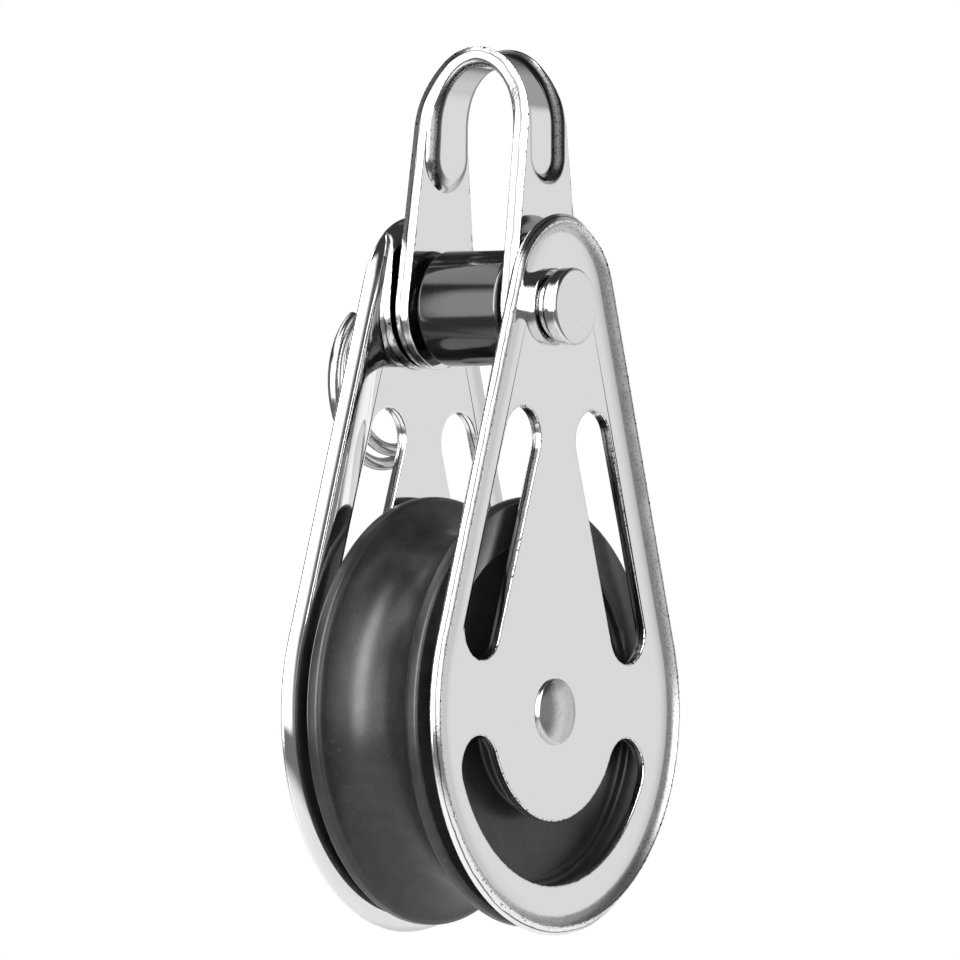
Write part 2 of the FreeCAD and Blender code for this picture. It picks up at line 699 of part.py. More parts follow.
def build_bow():
    """Strip bent into a U, with a bead pressed over the crown, trimmed to its outline."""
    body = new_body("bow")
    low = "(size.pin_height - 2 * size.bow_end_radius)"
    side, lines = bow_side(body, low)
    strip = pad(body, side, "4 * size.bow_end_radius")
    strip.SideType = "Symmetric"
    outer_way, inner_way = (path_edges(side, line[1:-1]) for line in lines)

    leg_ridge = ridge_corners("(size.bead_ridge / 2)")
    ridge = leg_sketch(body, "ridge", 1)
    outline(ridge, both_sides(leg_ridge))
    crown = new_sketch(body, "ridge_crown", "XZ_Plane")
    crown.setExpression("AttachmentOffset.Base.y", "size.bow_top - size.bow_crown_sheet")
    outline(crown, both_sides(ridge_corners("(size.bow_neck / 2)")))
    last = new_sketch(body, "ridge_last", "XY_Plane")
    last.AttachmentOffset = Placement(Vector(0, 0, 0), Rotation(Vector(1, 0, 0), 179))
    last.setExpression("AttachmentOffset.Base.y", f"-{leg_place(1, 'size.bead_foot')}")
    last.setExpression("AttachmentOffset.Base.z", "size.bead_foot")
    last.setExpression("AttachmentOffset.Rotation.Angle", "180 - size.bow_lean")
    outline(last, both_sides(leg_ridge))
    sweep(body, "AdditivePipe", "ridge_sweep", ridge, inner_way, (crown, last))
    ridge_half = leg_sketch(body, "ridge_end", 1)
    outline(ridge_half, half_section(leg_ridge))
    ridge_end = half_round(body, "Revolution", ridge_half)
    mirror_features(body, "ridge_ends", [ridge_end], "XZ_Plane")

    groove = leg_sketch(body, "groove", 0)
    outline(groove, both_sides(groove_corners()))
    sweep(body, "SubtractivePipe", "groove_sweep", groove, outer_way)
    groove_half = leg_sketch(body, "groove_end", 0)
    outline(groove_half, half_section(groove_corners()))
    groove_end = half_round(body, "Groove", groove_half)
    mirror_features(body, "groove_ends", [groove_end], "XZ_Plane")

    cut_through(body, bow_trim(body, low))
    hole(body, "pin_hole", "XZ_Plane", PIN_HOLE, "0", "size.pin_height")
    return body


def ring_place(turned, reach=1):
    """Place on the coil so many degrees from the pin's cross-hole, at a reach in its radii."""
    radius = number("size.ring_small" if turned < 0 else "size.ring_large")
    top = number("size.pin_height + (size.cross_hole - size.ring_wire) / 4")
    angle = math.radians(turned)
    return Vector(
        reach * radius * math.sin(angle),
        number(ring_along()) + number(RING_SLOPE) * radius * angle,
        top - radius + reach * radius * math.cos(angle),
    )


def ring_path():
    """The coil as tangent arcs, each across one corner of a polygon wound round it."""
    step = (360 - number("size.ring_gap")) / RING_ARCS
    reach = 1 / math.cos(math.radians(step / 2))
    turns = range(-RING_ARCS, RING_ARCS)
    joints = [ring_place(step * turn) for turn in turns] + [ring_place(step * RING_ARCS)]
    arcs = []
    for turn, start, end in zip(turns, joints, joints[1:]):
        corner = ring_place(step * (turn + 0.5), reach)
        inward = (start + end - corner * 2).normalize()
        bend = (corner - start).getAngle(end - corner)
        middle = corner + inward * (corner - start).Length * math.tan(bend / 4)
        arcs.append(Part.Arc(start, middle, end).toShape())
    return Part.Wire(arcs), joints[0]


def build_split_ring():
    """Sprung wire of nearly two turns; its middle lies in the pin's cross-hole."""
    path, start = ring_path()
    first = path.Edges[0]
    along = first.tangentAt(first.FirstParameter)
    end = Part.Circle(start, along, number("size.ring_wire / 2"))
    feature = doc.addObject("Part::Feature", "split_ring")
    feature.Label = "split_ring"
    feature.Shape = path.makePipeShell([Part.Wire(end.toShape())], True, False)
    return feature


def check(pieces):
    """Stop with a clear message if an object failed or a piece isn't one valid solid."""
    for item in doc.Objects:
        if {"Invalid", "Error"} & set(item.State):
            raise RuntimeError(f"{item.Name} failed: {item.getStatusString()}")
    for piece in pieces:
        shape = piece.Shape
        if shape.isNull() or not shape.isValid() or len(shape.Solids) != 1:
            raise RuntimeError(f"{piece.Label} isn't one valid solid")


pieces = [
    build_cheek("front_cheek", 0),
    build_cheek("back_cheek", 180),
    build_sheave(),
    build_tube("bearing_bush", BUSH_BORE, BUSH_OUTSIDE, BUSH_END),
    build_tube("axle_tube", TUBE_BORE, "size.tube_diameter / 2", CHEEK_INSIDE),
    build_rivet(),
    build_pin(),
    build_sleeve(),
    build_bow(),
    build_split_ring(),
]
doc.recompute()
check(pieces)
os.makedirs("parts", exist_ok=True)
for piece in pieces:
    piece.Shape.exportStep(f"parts/{piece.Label}.step")
    print(piece.Label, round(piece.Shape.Volume, 1), "mm3")
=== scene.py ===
# %% [markdown]
# A polished block for small boats, dressed for a product picture.
#
# The block has two stamped cheeks of mirror-polished steel, a dark plastic sheave between them,
# a bow bent from strip, a pin with a glossy black sleeve on it, and a split ring that keeps the
# pin. A plain model of it is already there, made in CAD, and every size below is read from that
# model or named once here. This lesson gives each piece its finished surface: soft edges that
# catch the light, even curves that a mirror finish needs, and materials made from nodes.

# %% Load the plain model
import math
from collections import namedtuple

import bmesh
import bpy
from mathutils import Matrix, Vector


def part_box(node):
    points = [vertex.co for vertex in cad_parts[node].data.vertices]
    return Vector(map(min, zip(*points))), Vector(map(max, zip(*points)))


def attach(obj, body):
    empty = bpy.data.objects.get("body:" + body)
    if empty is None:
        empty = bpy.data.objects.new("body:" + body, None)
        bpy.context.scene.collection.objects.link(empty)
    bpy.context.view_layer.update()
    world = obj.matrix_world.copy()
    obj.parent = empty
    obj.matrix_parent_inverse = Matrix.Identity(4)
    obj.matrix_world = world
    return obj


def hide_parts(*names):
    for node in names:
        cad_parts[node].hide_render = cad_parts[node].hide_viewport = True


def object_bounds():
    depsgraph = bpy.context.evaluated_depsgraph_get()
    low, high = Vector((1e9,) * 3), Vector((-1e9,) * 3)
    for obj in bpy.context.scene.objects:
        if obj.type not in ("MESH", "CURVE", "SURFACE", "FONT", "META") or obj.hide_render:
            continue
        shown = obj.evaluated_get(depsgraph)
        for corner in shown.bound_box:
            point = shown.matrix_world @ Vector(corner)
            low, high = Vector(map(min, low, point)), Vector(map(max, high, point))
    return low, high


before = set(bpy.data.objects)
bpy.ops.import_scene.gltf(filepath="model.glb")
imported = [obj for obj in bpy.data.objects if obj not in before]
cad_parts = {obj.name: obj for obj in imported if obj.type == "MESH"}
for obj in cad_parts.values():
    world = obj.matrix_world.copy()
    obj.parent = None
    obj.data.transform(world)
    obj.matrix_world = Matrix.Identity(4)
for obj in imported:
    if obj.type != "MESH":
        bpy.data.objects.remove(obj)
plain_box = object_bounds()
MM = 0.001
print("plain model, mm:", [tuple(round(c / MM, 2) for c in corner) for corner in plain_box])

# %% [markdown]
# The camera stands a metre away, low and to the left of the block, with a long lens. A long lens
# keeps parallel edges nearly parallel, as in a catalogue picture. The camera leans by less than
# a degree, because the block hung a little off upright when its picture was taken.

# %% Camera
AZIMUTH = math.radians(-55.89)
ELEVATION = math.radians(-1.74)
LEAN = math.radians(0.76)
DISTANCE = 1000.1 * MM
LENS, SENSOR = 383, 36
AIM = Vector((0, 0, 21.5)) * MM
AIM_SIDEWAYS, AIM_DOWN = 0.554 * MM, 1.141 * MM

back = Vector((
    math.sin(AZIMUTH) * math.cos(ELEVATION),
    -math.cos(AZIMUTH) * math.cos(ELEVATION),
    math.sin(ELEVATION),
))
level_right = Vector((math.cos(AZIMUTH), math.sin(AZIMUTH), 0))
level_up = back.cross(level_right)
camera_right = level_right * math.cos(LEAN) + level_up * math.sin(LEAN)
camera_up = level_up * math.cos(LEAN) - level_right * math.sin(LEAN)

camera = bpy.data.objects.new("camera", bpy.data.cameras.new("camera"))
bpy.context.scene.collection.objects.link(camera)
turn = Matrix((camera_right, camera_up, back)).transposed().to_4x4()
middle = AIM - camera_right * AIM_SIDEWAYS + camera_up * AIM_DOWN
camera.matrix_world = Matrix.Translation(middle + back * DISTANCE) @ turn
camera.data.sensor_width = SENSOR
camera.data.lens = LENS
camera.data.clip_start, camera.data.clip_end = 0.01, 20
bpy.context.scene.camera = camera
print("camera at", tuple(round(c, 3) for c in camera.location))

# %% [markdown]
# Every finish here, and the room too, is a tree of nodes. Most of its nodes are sums, which read
# best as formulas. So a value in a tree is a small object of its own: adding or multiplying two
# of them adds the Math node that does it, and fade adds a smooth step between two limits.

# %% Node helpers
NODES_A_ROW, NODE_WIDTH, NODE_HEIGHT = 8, 200, 280


def add_node(tree, kind, **values):
    """A node with its settings, placed in rows; a setting with a capital is an input's value."""
    node = tree.nodes.new(kind)
    row, column = divmod(len(tree.nodes) - 1, NODES_A_ROW)
    node.location = column * NODE_WIDTH, -row * NODE_HEIGHT
    for name, value in values.items():
        if name[0].isupper():
            node.inputs[name.replace("_", " ")].default_value = value
        else:
            setattr(node, name, value)
    return node


def feed(tree, sockets, sources):
    """Give each socket its source, which is a plain number or a value in the tree."""
    for socket, source in zip(sockets, sources):
        if isinstance(source, Value):
            tree.links.new(source.socket, socket)
        else:
            socket.default_value = source


def math_node(tree, operation, *sources):
    """The value of a Math node."""
    node = add_node(tree, "ShaderNodeMath", operation=operation)
    feed(tree, node.inputs, sources)
    return Value(tree, node.outputs[0])


class Value:
    """A value in a node tree, which can be added, subtracted, multiplied and faded."""

    def __init__(self, tree, socket):
        self.tree = tree
        self.socket = socket

    def __add__(self, other):
        return math_node(self.tree, "ADD", self, other)

    def __sub__(self, other):
        return math_node(self.tree, "SUBTRACT", self, other)

    def __rsub__(self, other):
        return math_node(self.tree, "SUBTRACT", other, self)

    def __mul__(self, other):
        return math_node(self.tree, "MULTIPLY", self, other)

    def fade(self, low, high, first=0.0, last=1.0):
        """A smooth step from first to last between two limits."""
        node = add_node(self.tree, "ShaderNodeMapRange", interpolation_type="SMOOTHSTEP")
        feed(self.tree, node.inputs, (self, low, high, first, last))
        return Value(self.tree, node.outputs[0])


def outputs_of(tree, node):
    return {socket.name: Value(tree, socket) for socket in node.outputs}


def new_group(name, inputs, outputs):
    """A node group with named inputs and outputs, its inputs as values, and its last node."""
    group = bpy.data.node_groups.new(name, "ShaderNodeTree")
    new_socket = group.interface.new_socket
    for label, value in inputs.items():
        socket = new_socket(name=label, in_out="INPUT", socket_type="NodeSocketFloat")
        socket.default_value = value
    for label, kind in outputs.items():
        new_socket(name=label, in_out="OUTPUT", socket_type="NodeSocket" + kind)
    come = outputs_of(group, add_node(group, "NodeGroupInput"))
    print("group:", name)
    return group, come, add_node(group, "NodeGroupOutput")


print("nodes in a row:", NODES_A_ROW)

# %% [markdown]
# Polished steel shows the room more than itself, so the room is part of the finish. It could be
# a photographed studio or area lamps. Here it is a dark world with nine soft cards, which are
# easy to set one by one. The flat cheeks mirror the cards right of the front as an even grey,
# the cards beside the camera light the rims, and the boxes at the back left draw bright bands
# on the edges, the sleeve and the sheave. The camera itself sees plain white.

# %% A soft card
def soft_card_group():
    """Brightness of one card for a direction: full inside its borders, soft outside them."""
    group, come, last = new_group("soft_card", {
        "Around": 0.0, "Height": 0.0, "Middle": 0.0, "Half": 0.5, "Side Blur": 0.3,
        "Low": -0.2, "High": 0.4, "Low Blur": 0.1, "High Blur": 0.1, "Level": 1.0,
    }, {"Value": "Float"})
    aside = math_node(group, "WRAP", come["Around"] - come["Middle"], math.pi, -math.pi)
    aside = math_node(group, "ABSOLUTE", aside)
    across = aside.fade(come["Half"], come["Half"] + come["Side Blur"], 1.0, 0.0)
    above = come["Height"].fade(come["Low"] - come["Low Blur"], come["Low"])
    below = come["Height"].fade(come["High"], come["High"] + come["High Blur"], 1.0, 0.0)
    feed(group, last.inputs, [across * above * below * come["Level"]])
    return group


soft_card = soft_card_group()

# %% The room
# Angles are in degrees. The middle is counted from +X towards +Y, and the rest from there.
CARDS = {
    "flat_card": dict(middle=-35, half=2, side_blur=30, low=-30, high=14, level=0.86),
    "side_card": dict(middle=-12, half=8, side_blur=50, low=-32, high=14, level=0.7),
    "right_card": dict(
        middle=28, half=16, side_blur=18, low=-10, high=14, low_blur=8, high_blur=10, level=1.4,
    ),
    "front_card": dict(middle=-75, half=15, side_blur=12, low=-8, high=14, level=0.27),
    "camera_card": dict(
        middle=-152, half=37, side_blur=22, low=-3, high=40, low_blur=7, level=2.2,
    ),
    "over_card": dict(
        middle=-8, half=25, side_blur=20, low=14, high=36, low_blur=8, high_blur=10, level=0.4,
    ),
    "camera_strip": dict(
        middle=-161, half=7, side_blur=14, low=-4, high=50, low_blur=14, high_blur=30, level=11.0,
    ),
    "left_box": dict(
        middle=163, half=20, side_blur=6, low=-14, high=20, low_blur=4, high_blur=14, level=2.6,
    ),
    "upper_box": dict(
        middle=125, half=52, side_blur=14, low=40, high=57, low_blur=6, high_blur=6, level=1.9,
    ),
}
USUAL_BLURS = dict(low_blur=10, high_blur=12)
ROOM_DARK, CEILING_DARK = 0.2, 0.05
CEILING_FROM, CEILING_FULL = math.radians(8), math.radians(28)


def build_world(tree):
    """The brightest card of each direction, over a room that darkens towards its ceiling."""
    tree.nodes.clear()
    link = tree.links.new
    direction = add_node(tree, "ShaderNodeTexCoord")
    split = add_node(tree, "ShaderNodeSeparateXYZ")
    link(direction.outputs["Generated"], split.inputs[0])
    parts = outputs_of(tree, split)
    around = math_node(tree, "ARCTAN2", parts["Y"], parts["X"])
    height = math_node(tree, "ARCSINE", parts["Z"])
    light = height.fade(CEILING_FROM, CEILING_FULL, ROOM_DARK, CEILING_DARK)
    for name, card in CARDS.items():
        node = add_node(tree, "ShaderNodeGroup", node_tree=soft_card, label=name)
        feed(tree, (node.inputs["Around"], node.inputs["Height"]), (around, height))
        for key, value in {**USUAL_BLURS, **card}.items():
            socket = node.inputs[key.replace("_", " ").title()]
            socket.default_value = value if key == "level" else math.radians(value)
        light = math_node(tree, "MAXIMUM", light, Value(tree, node.outputs[0]))
    room = add_node(tree, "ShaderNodeBackground")
    link(light.socket, room.inputs["Color"])
    white = add_node(tree, "ShaderNodeBackground", Color=(1, 1, 1, 1), Strength=1.0)
    path = add_node(tree, "ShaderNodeLightPath")
    mix = add_node(tree, "ShaderNodeMixShader")
    out = add_node(tree, "ShaderNodeOutputWorld")
    link(path.outputs["Is Camera Ray"], mix.inputs["Fac"])
    link(room.outputs[0], mix.inputs[1])
    link(white.outputs[0], mix.inputs[2])
    link(mix.outputs[0], out.inputs["Surface"])


scene = bpy.context.scene
scene.view_settings.view_transform = "Standard"
world = bpy.data.worlds.new("studio")
scene.world = world
world.use_nodes = True
build_world(world.node_tree)
print("cards:", ", ".join(CARDS))

# %% [markdown]
# The floor is a pale disc a little below the block, which catches the soft shadow. A plain
# square would end in a line against the white, so the disc fades out towards its edge.

# %% The floor
FLOOR_DROP, FLOOR_RADIUS = 40 * MM, 170 * MM
FLOOR_CLEAR_FROM = FLOOR_RADIUS * 0.45
FLOOR_TONES = (0.8, 0.8, 0.8, 1), (0.84, 0.84, 0.84, 1)
floor_z = plain_box[0].z - FLOOR_DROP


def floor_material():
    """A pale, faintly mottled floor that turns clear towards its edge."""
    material = bpy.data.materials.new("pale_floor")
    material.use_nodes = True
    tree = material.node_tree
    shader = tree.nodes["Principled BSDF"]
    shader.inputs["Roughness"].default_value = 0.6
    where = add_node(tree, "ShaderNodeTexCoord")
    flat = add_node(tree, "ShaderNodeMapping", Scale=(1, 1, 0))
    distance = add_node(tree, "ShaderNodeVectorMath", operation="LENGTH")
    grain = add_node(tree, "ShaderNodeTexNoise", Scale=40.0, Detail=3.0)
    tone = add_node(tree, "ShaderNodeValToRGB")
    for element, color in zip(tone.color_ramp.elements, FLOOR_TONES):
        element.color = color
    link = tree.links.new
    link(where.outputs["Object"], flat.inputs["Vector"])
    link(flat.outputs["Vector"], distance.inputs[0])
    link(where.outputs["Object"], grain.inputs["Vector"])
    link(grain.outputs["Fac"], tone.inputs["Fac"])
    link(tone.outputs["Color"], shader.inputs["Base Color"])
    away = Value(tree, distance.outputs["Value"])
    clear = away.fade(FLOOR_CLEAR_FROM, FLOOR_RADIUS, 1.0, 0.0)
    link(clear.socket, shader.inputs["Alpha"])
    return material


bm = bmesh.new()
bmesh.ops.create_circle(bm, cap_ends=True, segments=96, radius=FLOOR_RADIUS)
floor_mesh = bpy.data.meshes.new("floor")
bm.to_mesh(floor_mesh)
bm.free()
floor_mesh.transform(Matrix.Translation((0, 0, floor_z)))
floor_mesh.materials.append(floor_material())
floor = bpy.data.objects.new("floor", floor_mesh)
scene.collection.objects.link(floor)
print("floor", round(floor_z / MM, 1), "mm from the axle")

# %% [markdown]
# A finish is never quite even, and noise gives it life. Each noise here lies on Object
# coordinates, so it stays on its piece when the piece moves, and its size is in millimetres.
# Every surface group gives a colour, a roughness and a height, and so one function can turn any
# of the groups into a material.

# %% Surface helpers
PER_MM = 1 / MM
PATCH_LOW, PATCH_HIGH = 0.3, 0.7


def mesh_value(tree, name):
    """A number that the mesh carries at each of its points."""
    node = add_node(tree, "ShaderNodeAttribute", attribute_name=name)
    return Value(tree, node.outputs["Fac"])


def grain_noise(tree, size, detail=3.0):
    """Noise on Object coordinates; size is a value or a number, in millimetres."""
    where = add_node(tree, "ShaderNodeTexCoord")
    scale = math_node(tree, "DIVIDE", PER_MM, size)
    noise = add_node(tree, "ShaderNodeTexNoise", Detail=detail, Roughness=0.6)
    tree.links.new(where.outputs["Object"], noise.inputs["Vector"])
    tree.links.new(scale.socket, noise.inputs["Scale"])
    return Value(tree, noise.outputs["Fac"])


def surface_group(name, formula, **inputs):
    """A group with these inputs, whose formula gives its colour, roughness and height."""
    labels = {key.replace("_", " "): value for key, value in inputs.items()}
    outputs = {"Color": "Color", "Roughness": "Float", "Height": "Float"}
    group, come, last = new_group(name, labels, outputs)
    feed(group, last.inputs, formula(group, come))
    return group


print("noise scale for 1 mm:", PER_MM)

# %% [markdown]
# All the steel shares one group. Flat sheet is a mirror, and where the sheet was bent or pressed
# its grain shows as a fine orange-peel, which scatters the light and darkens it in specks. The
# same places also get a darker colour all over, which is painted shade. An image mask could say
# where, but each mesh carries that itself, as a number from 0 on the flats to 1 in the bends, so
# the finish follows the shape exactly.

# %% Worked steel
CLOUD_SIZE = 6.0
SPECK_FROM, SPECK_FULL = 0.5, 0.66
HAZE_LEAST, HAZE_MOST = 0.9, 1.15


def steel_formula(group, come):
    """Steel that is smooth where it is flat, and grained, specked and darkened by painted shade
    where it was worked.
    """
    worked = come["Worked"]
    grain = grain_noise(group, come["Grain"])
    clouds = grain_noise(group, CLOUD_SIZE)
    specks = grain.fade(SPECK_FROM, SPECK_FULL) * worked * come["Speckle"]
    # The colour is darker where the steel was worked; that darkening is painted shade.
    tone = (1.0 - specks) * (1.0 - worked * come["Worked Loss"]) * come["Tone"]
    rough = (come["Rough"] - come["Smooth"]) * worked + come["Smooth"]
    haze = clouds.fade(PATCH_LOW, PATCH_HIGH, HAZE_LEAST, HAZE_MOST)
    return tone, rough * haze, clouds * come["Waves"] + grain * worked


worked_steel = surface_group(
    "worked_steel", steel_formula, Tone=0.8, Worked=0.0, Smooth=0.04, Rough=0.3, Grain=0.22,
    Speckle=0.6, Worked_Loss=0.2, Waves=0.02,
)

# %% [markdown]
# A stamped edge isn't polished. The punch shears the first part of it bright, tears the rest,
# which stays rough and full of dark specks, and leaves a thin line between the two. A second
# number on the mesh says how far across the edge a point is, and noise makes the line wander.

# %% Stamped edge
WANDER_SIZE, WANDER = 2.5, 0.3
SPECK_LIMIT, TORN_SPECKS, SPECK_SOFT = 0.68, 0.14, 0.05
LINE_HALF, LINE_WANDER = 0.02, 0.2
SHEARED_ROUGH, TORN_ROUGH = 0.12, 0.08


def edge_formula(group, come):
    """The edge of a stamped sheet: sheared, then torn, with a thin dark line between them."""
    grain = grain_noise(group, come["Grain"])
    wander = grain_noise(group, WANDER_SIZE, detail=2.0)
    place = mesh_value(group, "across") + (wander * WANDER - WANDER / 2)
    torn = place.fade(come["Torn"], 0.0)
    limit = SPECK_LIMIT - torn * TORN_SPECKS
    specks = grain.fade(limit, limit + SPECK_SOFT)
    off = math_node(group, "ABSOLUTE", place - come["Line"])
    line = off.fade(LINE_HALF, wander * LINE_WANDER + LINE_HALF, 1.0, 0.0)
    dark = math_node(group, "MAXIMUM", specks, line * come["Line Depth"])
    tone = dark * (come["Dark"] - come["Tone"]) + come["Tone"]
    return tone, torn * TORN_ROUGH + SHEARED_ROUGH, grain


stamped_edge = surface_group(
    "stamped_edge", edge_formula, Tone=0.9, Torn=0.5, Line=0.5, Line_Depth=0.75, Grain=0.3,
    Dark=0.12,
)

# %% [markdown]
# The sheave and the sleeve are moulded plastic. Its skin is mottled, a little more or less shiny
# from place to place, with fine pale dust on it. Two noises do that: a broad one for the
# mottling and a fine one for the dust and the skin.

# %% Moulded plastic
SKIN_SIZE, SKIN_SHARE = 0.35, 0.25
DUST_FROM, DUST_FULL = 0.62, 0.75
SHEEN_SWING = 0.25


def plastic_formula(group, come):
    """Moulded plastic: a mottled tone and sheen, fine dust, and a slightly uneven skin."""
    patches = grain_noise(group, come["Patch"], detail=5.0)
    fine = grain_noise(group, SKIN_SIZE, detail=2.0)
    swing = patches.fade(PATCH_LOW, PATCH_HIGH, -1.0, 1.0) * come["Mottle"]
    dust = fine.fade(DUST_FROM, DUST_FULL) * come["Dust"]
    tone = (swing + 1.0) * come["Tone"] + dust
    rough = (1.0 - swing * SHEEN_SWING) * come["Sheen"]
    return tone, rough, fine * SKIN_SHARE + patches


moulded = surface_group(
    "moulded", plastic_formula, Tone=0.04, Mottle=0.5, Patch=1.6, Sheen=0.4, Dust=0.1,
)

# %% [markdown]
# Each finish of the block is one group with its own values. The cheeks and the bow read how much
# they were worked from their meshes, which also darkens them there as painted shade, and the
# turned steel has one value all over. The relief is a hundredth of a millimetre or so, too fine to
# model, so it is bump.

# %% Materials
def surface(name, group, metallic, bump, worked_by_mesh=False, shine=0.5, **values):
    """A material from one surface group; bump is the height of its relief in millimetres."""
    material = bpy.data.materials.new(name)
    material.use_nodes = True
    tree = material.node_tree
    shader = tree.nodes["Principled BSDF"]
    shader.inputs["Metallic"].default_value = metallic
    shader.inputs["Specular IOR Level"].default_value = shine
    node = add_node(tree, "ShaderNodeGroup", node_tree=group, **values)
    relief = add_node(tree, "ShaderNodeBump", Strength=1.0, Distance=bump * MM)
    link = tree.links.new
    link(node.outputs["Color"], shader.inputs["Base Color"])
    link(node.outputs["Roughness"], shader.inputs["Roughness"])
    link(node.outputs["Height"], relief.inputs["Height"])
    link(relief.outputs["Normal"], shader.inputs["Normal"])
    if worked_by_mesh:
        link(mesh_value(tree, "worked").socket, node.inputs["Worked"])
    return material


# The cheek's bent rim is a little darker: painted shade.
polished = surface(
    "polished_sheet", worked_steel, 1, 0.008, worked_by_mesh=True, Speckle=0.4, Worked_Loss=0.05,
)
# The bow's worked walls and crown are darkened nearly to black: painted shade.
pressed = surface(
    "pressed_strip", worked_steel, 1, 0.012, worked_by_mesh=True, Speckle=0.75, Worked_Loss=0.9,
)
cheek_edge = surface(
    "cheek_edge", stamped_edge, 1, 0.01, Torn=0.3, Line=0.55, Line_Depth=0.9, Dark=0.04,
)
bow_edge = surface(
    "bow_edge", stamped_edge, 1, 0.012, Torn=0.5, Line=0.46, Grain=0.26, Dark=0.02,
)
steel_pin = surface("turned_pin", worked_steel, 1, 0.003, Worked=0.1, Smooth=0.05, Rough=0.2)
steel_rivet = surface(
    "domed_rivet", worked_steel, 1, 0.02, Tone=0.74, Worked=0.35, Smooth=0.16, Rough=0.28,
    Speckle=0.4, Grain=0.3,
)
steel_wire = surface(
    "drawn_wire", worked_steel, 1, 0.006, Tone=0.62, Worked=0.4, Smooth=0.1, Rough=0.25,
)
steel_tube = surface(
    "ground_tube", worked_steel, 1, 0.01, Tone=0.66, Worked=0.6, Smooth=0.2, Rough=0.4,
)
dark_satin = surface(
    "sheave_moulding", moulded, 0, 0.012, Tone=0.011, Mottle=0.3, Sheen=0.32, Dust=0.02,
)
black_gloss = surface(
    "sleeve_gloss", moulded, 0, 0.004, shine=0.95, Tone=0.006, Mottle=0.2, Sheen=0.12, Dust=0.01,
)
bush_plain = surface(
    "bush_moulding", moulded, 0, 0.01, Tone=0.28, Mottle=0.2, Sheen=0.5, Dust=0.05,
)
print("materials:", ", ".join(m.name for m in bpy.data.materials if m.use_nodes))

# %% [markdown]
# Most pieces of the block are stamped or turned. A stamped piece is an outline with a rounded
# edge all round, and its outline grows evenly outward. So an outline here is a list of spots:
# a centre, a radius and a direction. Moving each spot outward along its own direction gives the
# same outline a little larger, with no gaps and no corners.

# %% Outlines made of spots
QUARTER = math.pi / 2


def even(first, last, steps):
    """Numbers from first to last, evenly spaced."""
    return [first + (last - first) * i / steps for i in range(steps + 1)]


def directions(first, last, steps):
    """Unit vectors in the plane from one angle to another."""
    return [Vector((math.cos(a), 0, math.sin(a))) for a in even(first, last, steps)]


def spots_of_hull(low, high, steps):
    """Spots round two circles, each (x, z, radius), and along the lines that touch both."""
    (low_x, low_z, low_r), (high_x, high_z, high_r) = low, high
    low_centre, high_centre = Vector((low_x, 0, low_z)), Vector((high_x, 0, high_z))
    axis = high_centre - low_centre
    heading = math.atan2(axis.z, axis.x)
    lean = math.asin((low_r - high_r) / axis.length)
    right, left = heading - QUARTER + lean, heading + QUARTER - lean
    foot = [(low_centre, low_r, d) for d in directions(left, right + 2 * math.pi, 2 * steps)]
    head = [(high_centre, high_r, d) for d in directions(right, left, steps)]
    return foot + head


def spots_of_circle(x, z, radius, steps=64):
    centre = Vector((x, 0, z))
    return [(centre, radius, d) for d in directions(0, 2 * math.pi * (1 - 1 / steps), steps - 1)]


def spots_of_crescent(rise, outer, inner, tip_drop, steps=24):
    """Spots round a bent slot: two arcs about one centre, joined by round tips."""
    centre = Vector((0, 0, rise))
    middle, tip = (outer + inner) / 2, (outer - inner) / 2
    dip = math.asin(tip_drop / middle)
    first, last = math.pi + dip, 2 * math.pi - dip
    right_tip = centre + Vector((math.cos(last), 0, math.sin(last))) * middle
    left_tip = centre + Vector((math.cos(first), 0, math.sin(first))) * middle
    round_right = directions(last, last + math.pi, steps)[1:-1]
    round_left = directions(first + math.pi, first + 2 * math.pi, steps)[1:-1]
    under = [(centre, outer, d) for d in directions(first, last, 4 * steps)]
    over = [(centre, -inner, -d) for d in directions(last, first, 3 * steps)]
    right = [(right_tip, tip, d) for d in round_right]
    left = [(left_tip, tip, d) for d in round_left]
    return under + right + over + left


print("spots round a circle:", len(spots_of_circle(0, 0, MM)))

# %% [markdown]
# A wall joins the two faces of a sheet along an outline. A plain extrusion with a bevel would do
# for a hole, but the cheek's rim is bent as well as rounded. So the outline is extruded again
# and again, and each new ring moves to the next step of the wall's section.

# %% Walls grown from an outline
MARKS = ("worked", "across")


def mark_layers(bm):
    """The two numbers that a mesh carries: how much it was worked, and the place on its edge."""
    layers = bm.verts.layers.float
    return [layers.get(name) or layers.new(name) for name in MARKS]


def edges_of(verts):
    """The edges at some vertices, each once and always in the same order."""
    return list(dict.fromkeys(edge for vert in verts for edge in vert.link_edges))


def ring_verts(bm, spots, layer):
    """A closed ring, one vertex for each spot, made from a circle and put on the spots later."""
    made = bmesh.ops.create_circle(bm, cap_ends=False, segments=len(spots), radius=MM)["verts"]
    for index, vert in enumerate(made):
        vert[layer] = index
    return made, edges_of(made)


def grow_wall(bm, spots, steps, height_of):
    """Extrude a ring through steps of (outward, along, material, marks), and return its ends.

    A step's material is that of the wall from there to the next step. Its marks are how much
    the sheet was worked there and the place across its edge.
    """
    worked, across = mark_layers(bm)
    layer = bm.verts.layers.int.get("spot") or bm.verts.layers.int.new("spot")
    verts, edges = ring_verts(bm, spots, layer)
    first = edges
    for number, (outward, along, _, marks) in enumerate(steps):
        if number:
            grown = bmesh.ops.extrude_edge_only(bm, edges=edges)["geom"]
            verts = [item for item in grown if isinstance(item, bmesh.types.BMVert)]
            edges = [item for item in grown if isinstance(item, bmesh.types.BMEdge)]
            edges = [edge for edge in edges if all(vert in verts for vert in edge.verts)]
            for face in (item for item in grown if isinstance(item, bmesh.types.BMFace)):
                face.material_index = steps[number - 1][2]
        for vert in verts:
            centre, radius, direction = spots[vert[layer]]
            vert.co = centre + direction * (radius + outward)
            vert.co.y = height_of(along)
            vert[worked], vert[across] = marks
    return first, edges


print("each vertex carries:", ", ".join(MARKS))
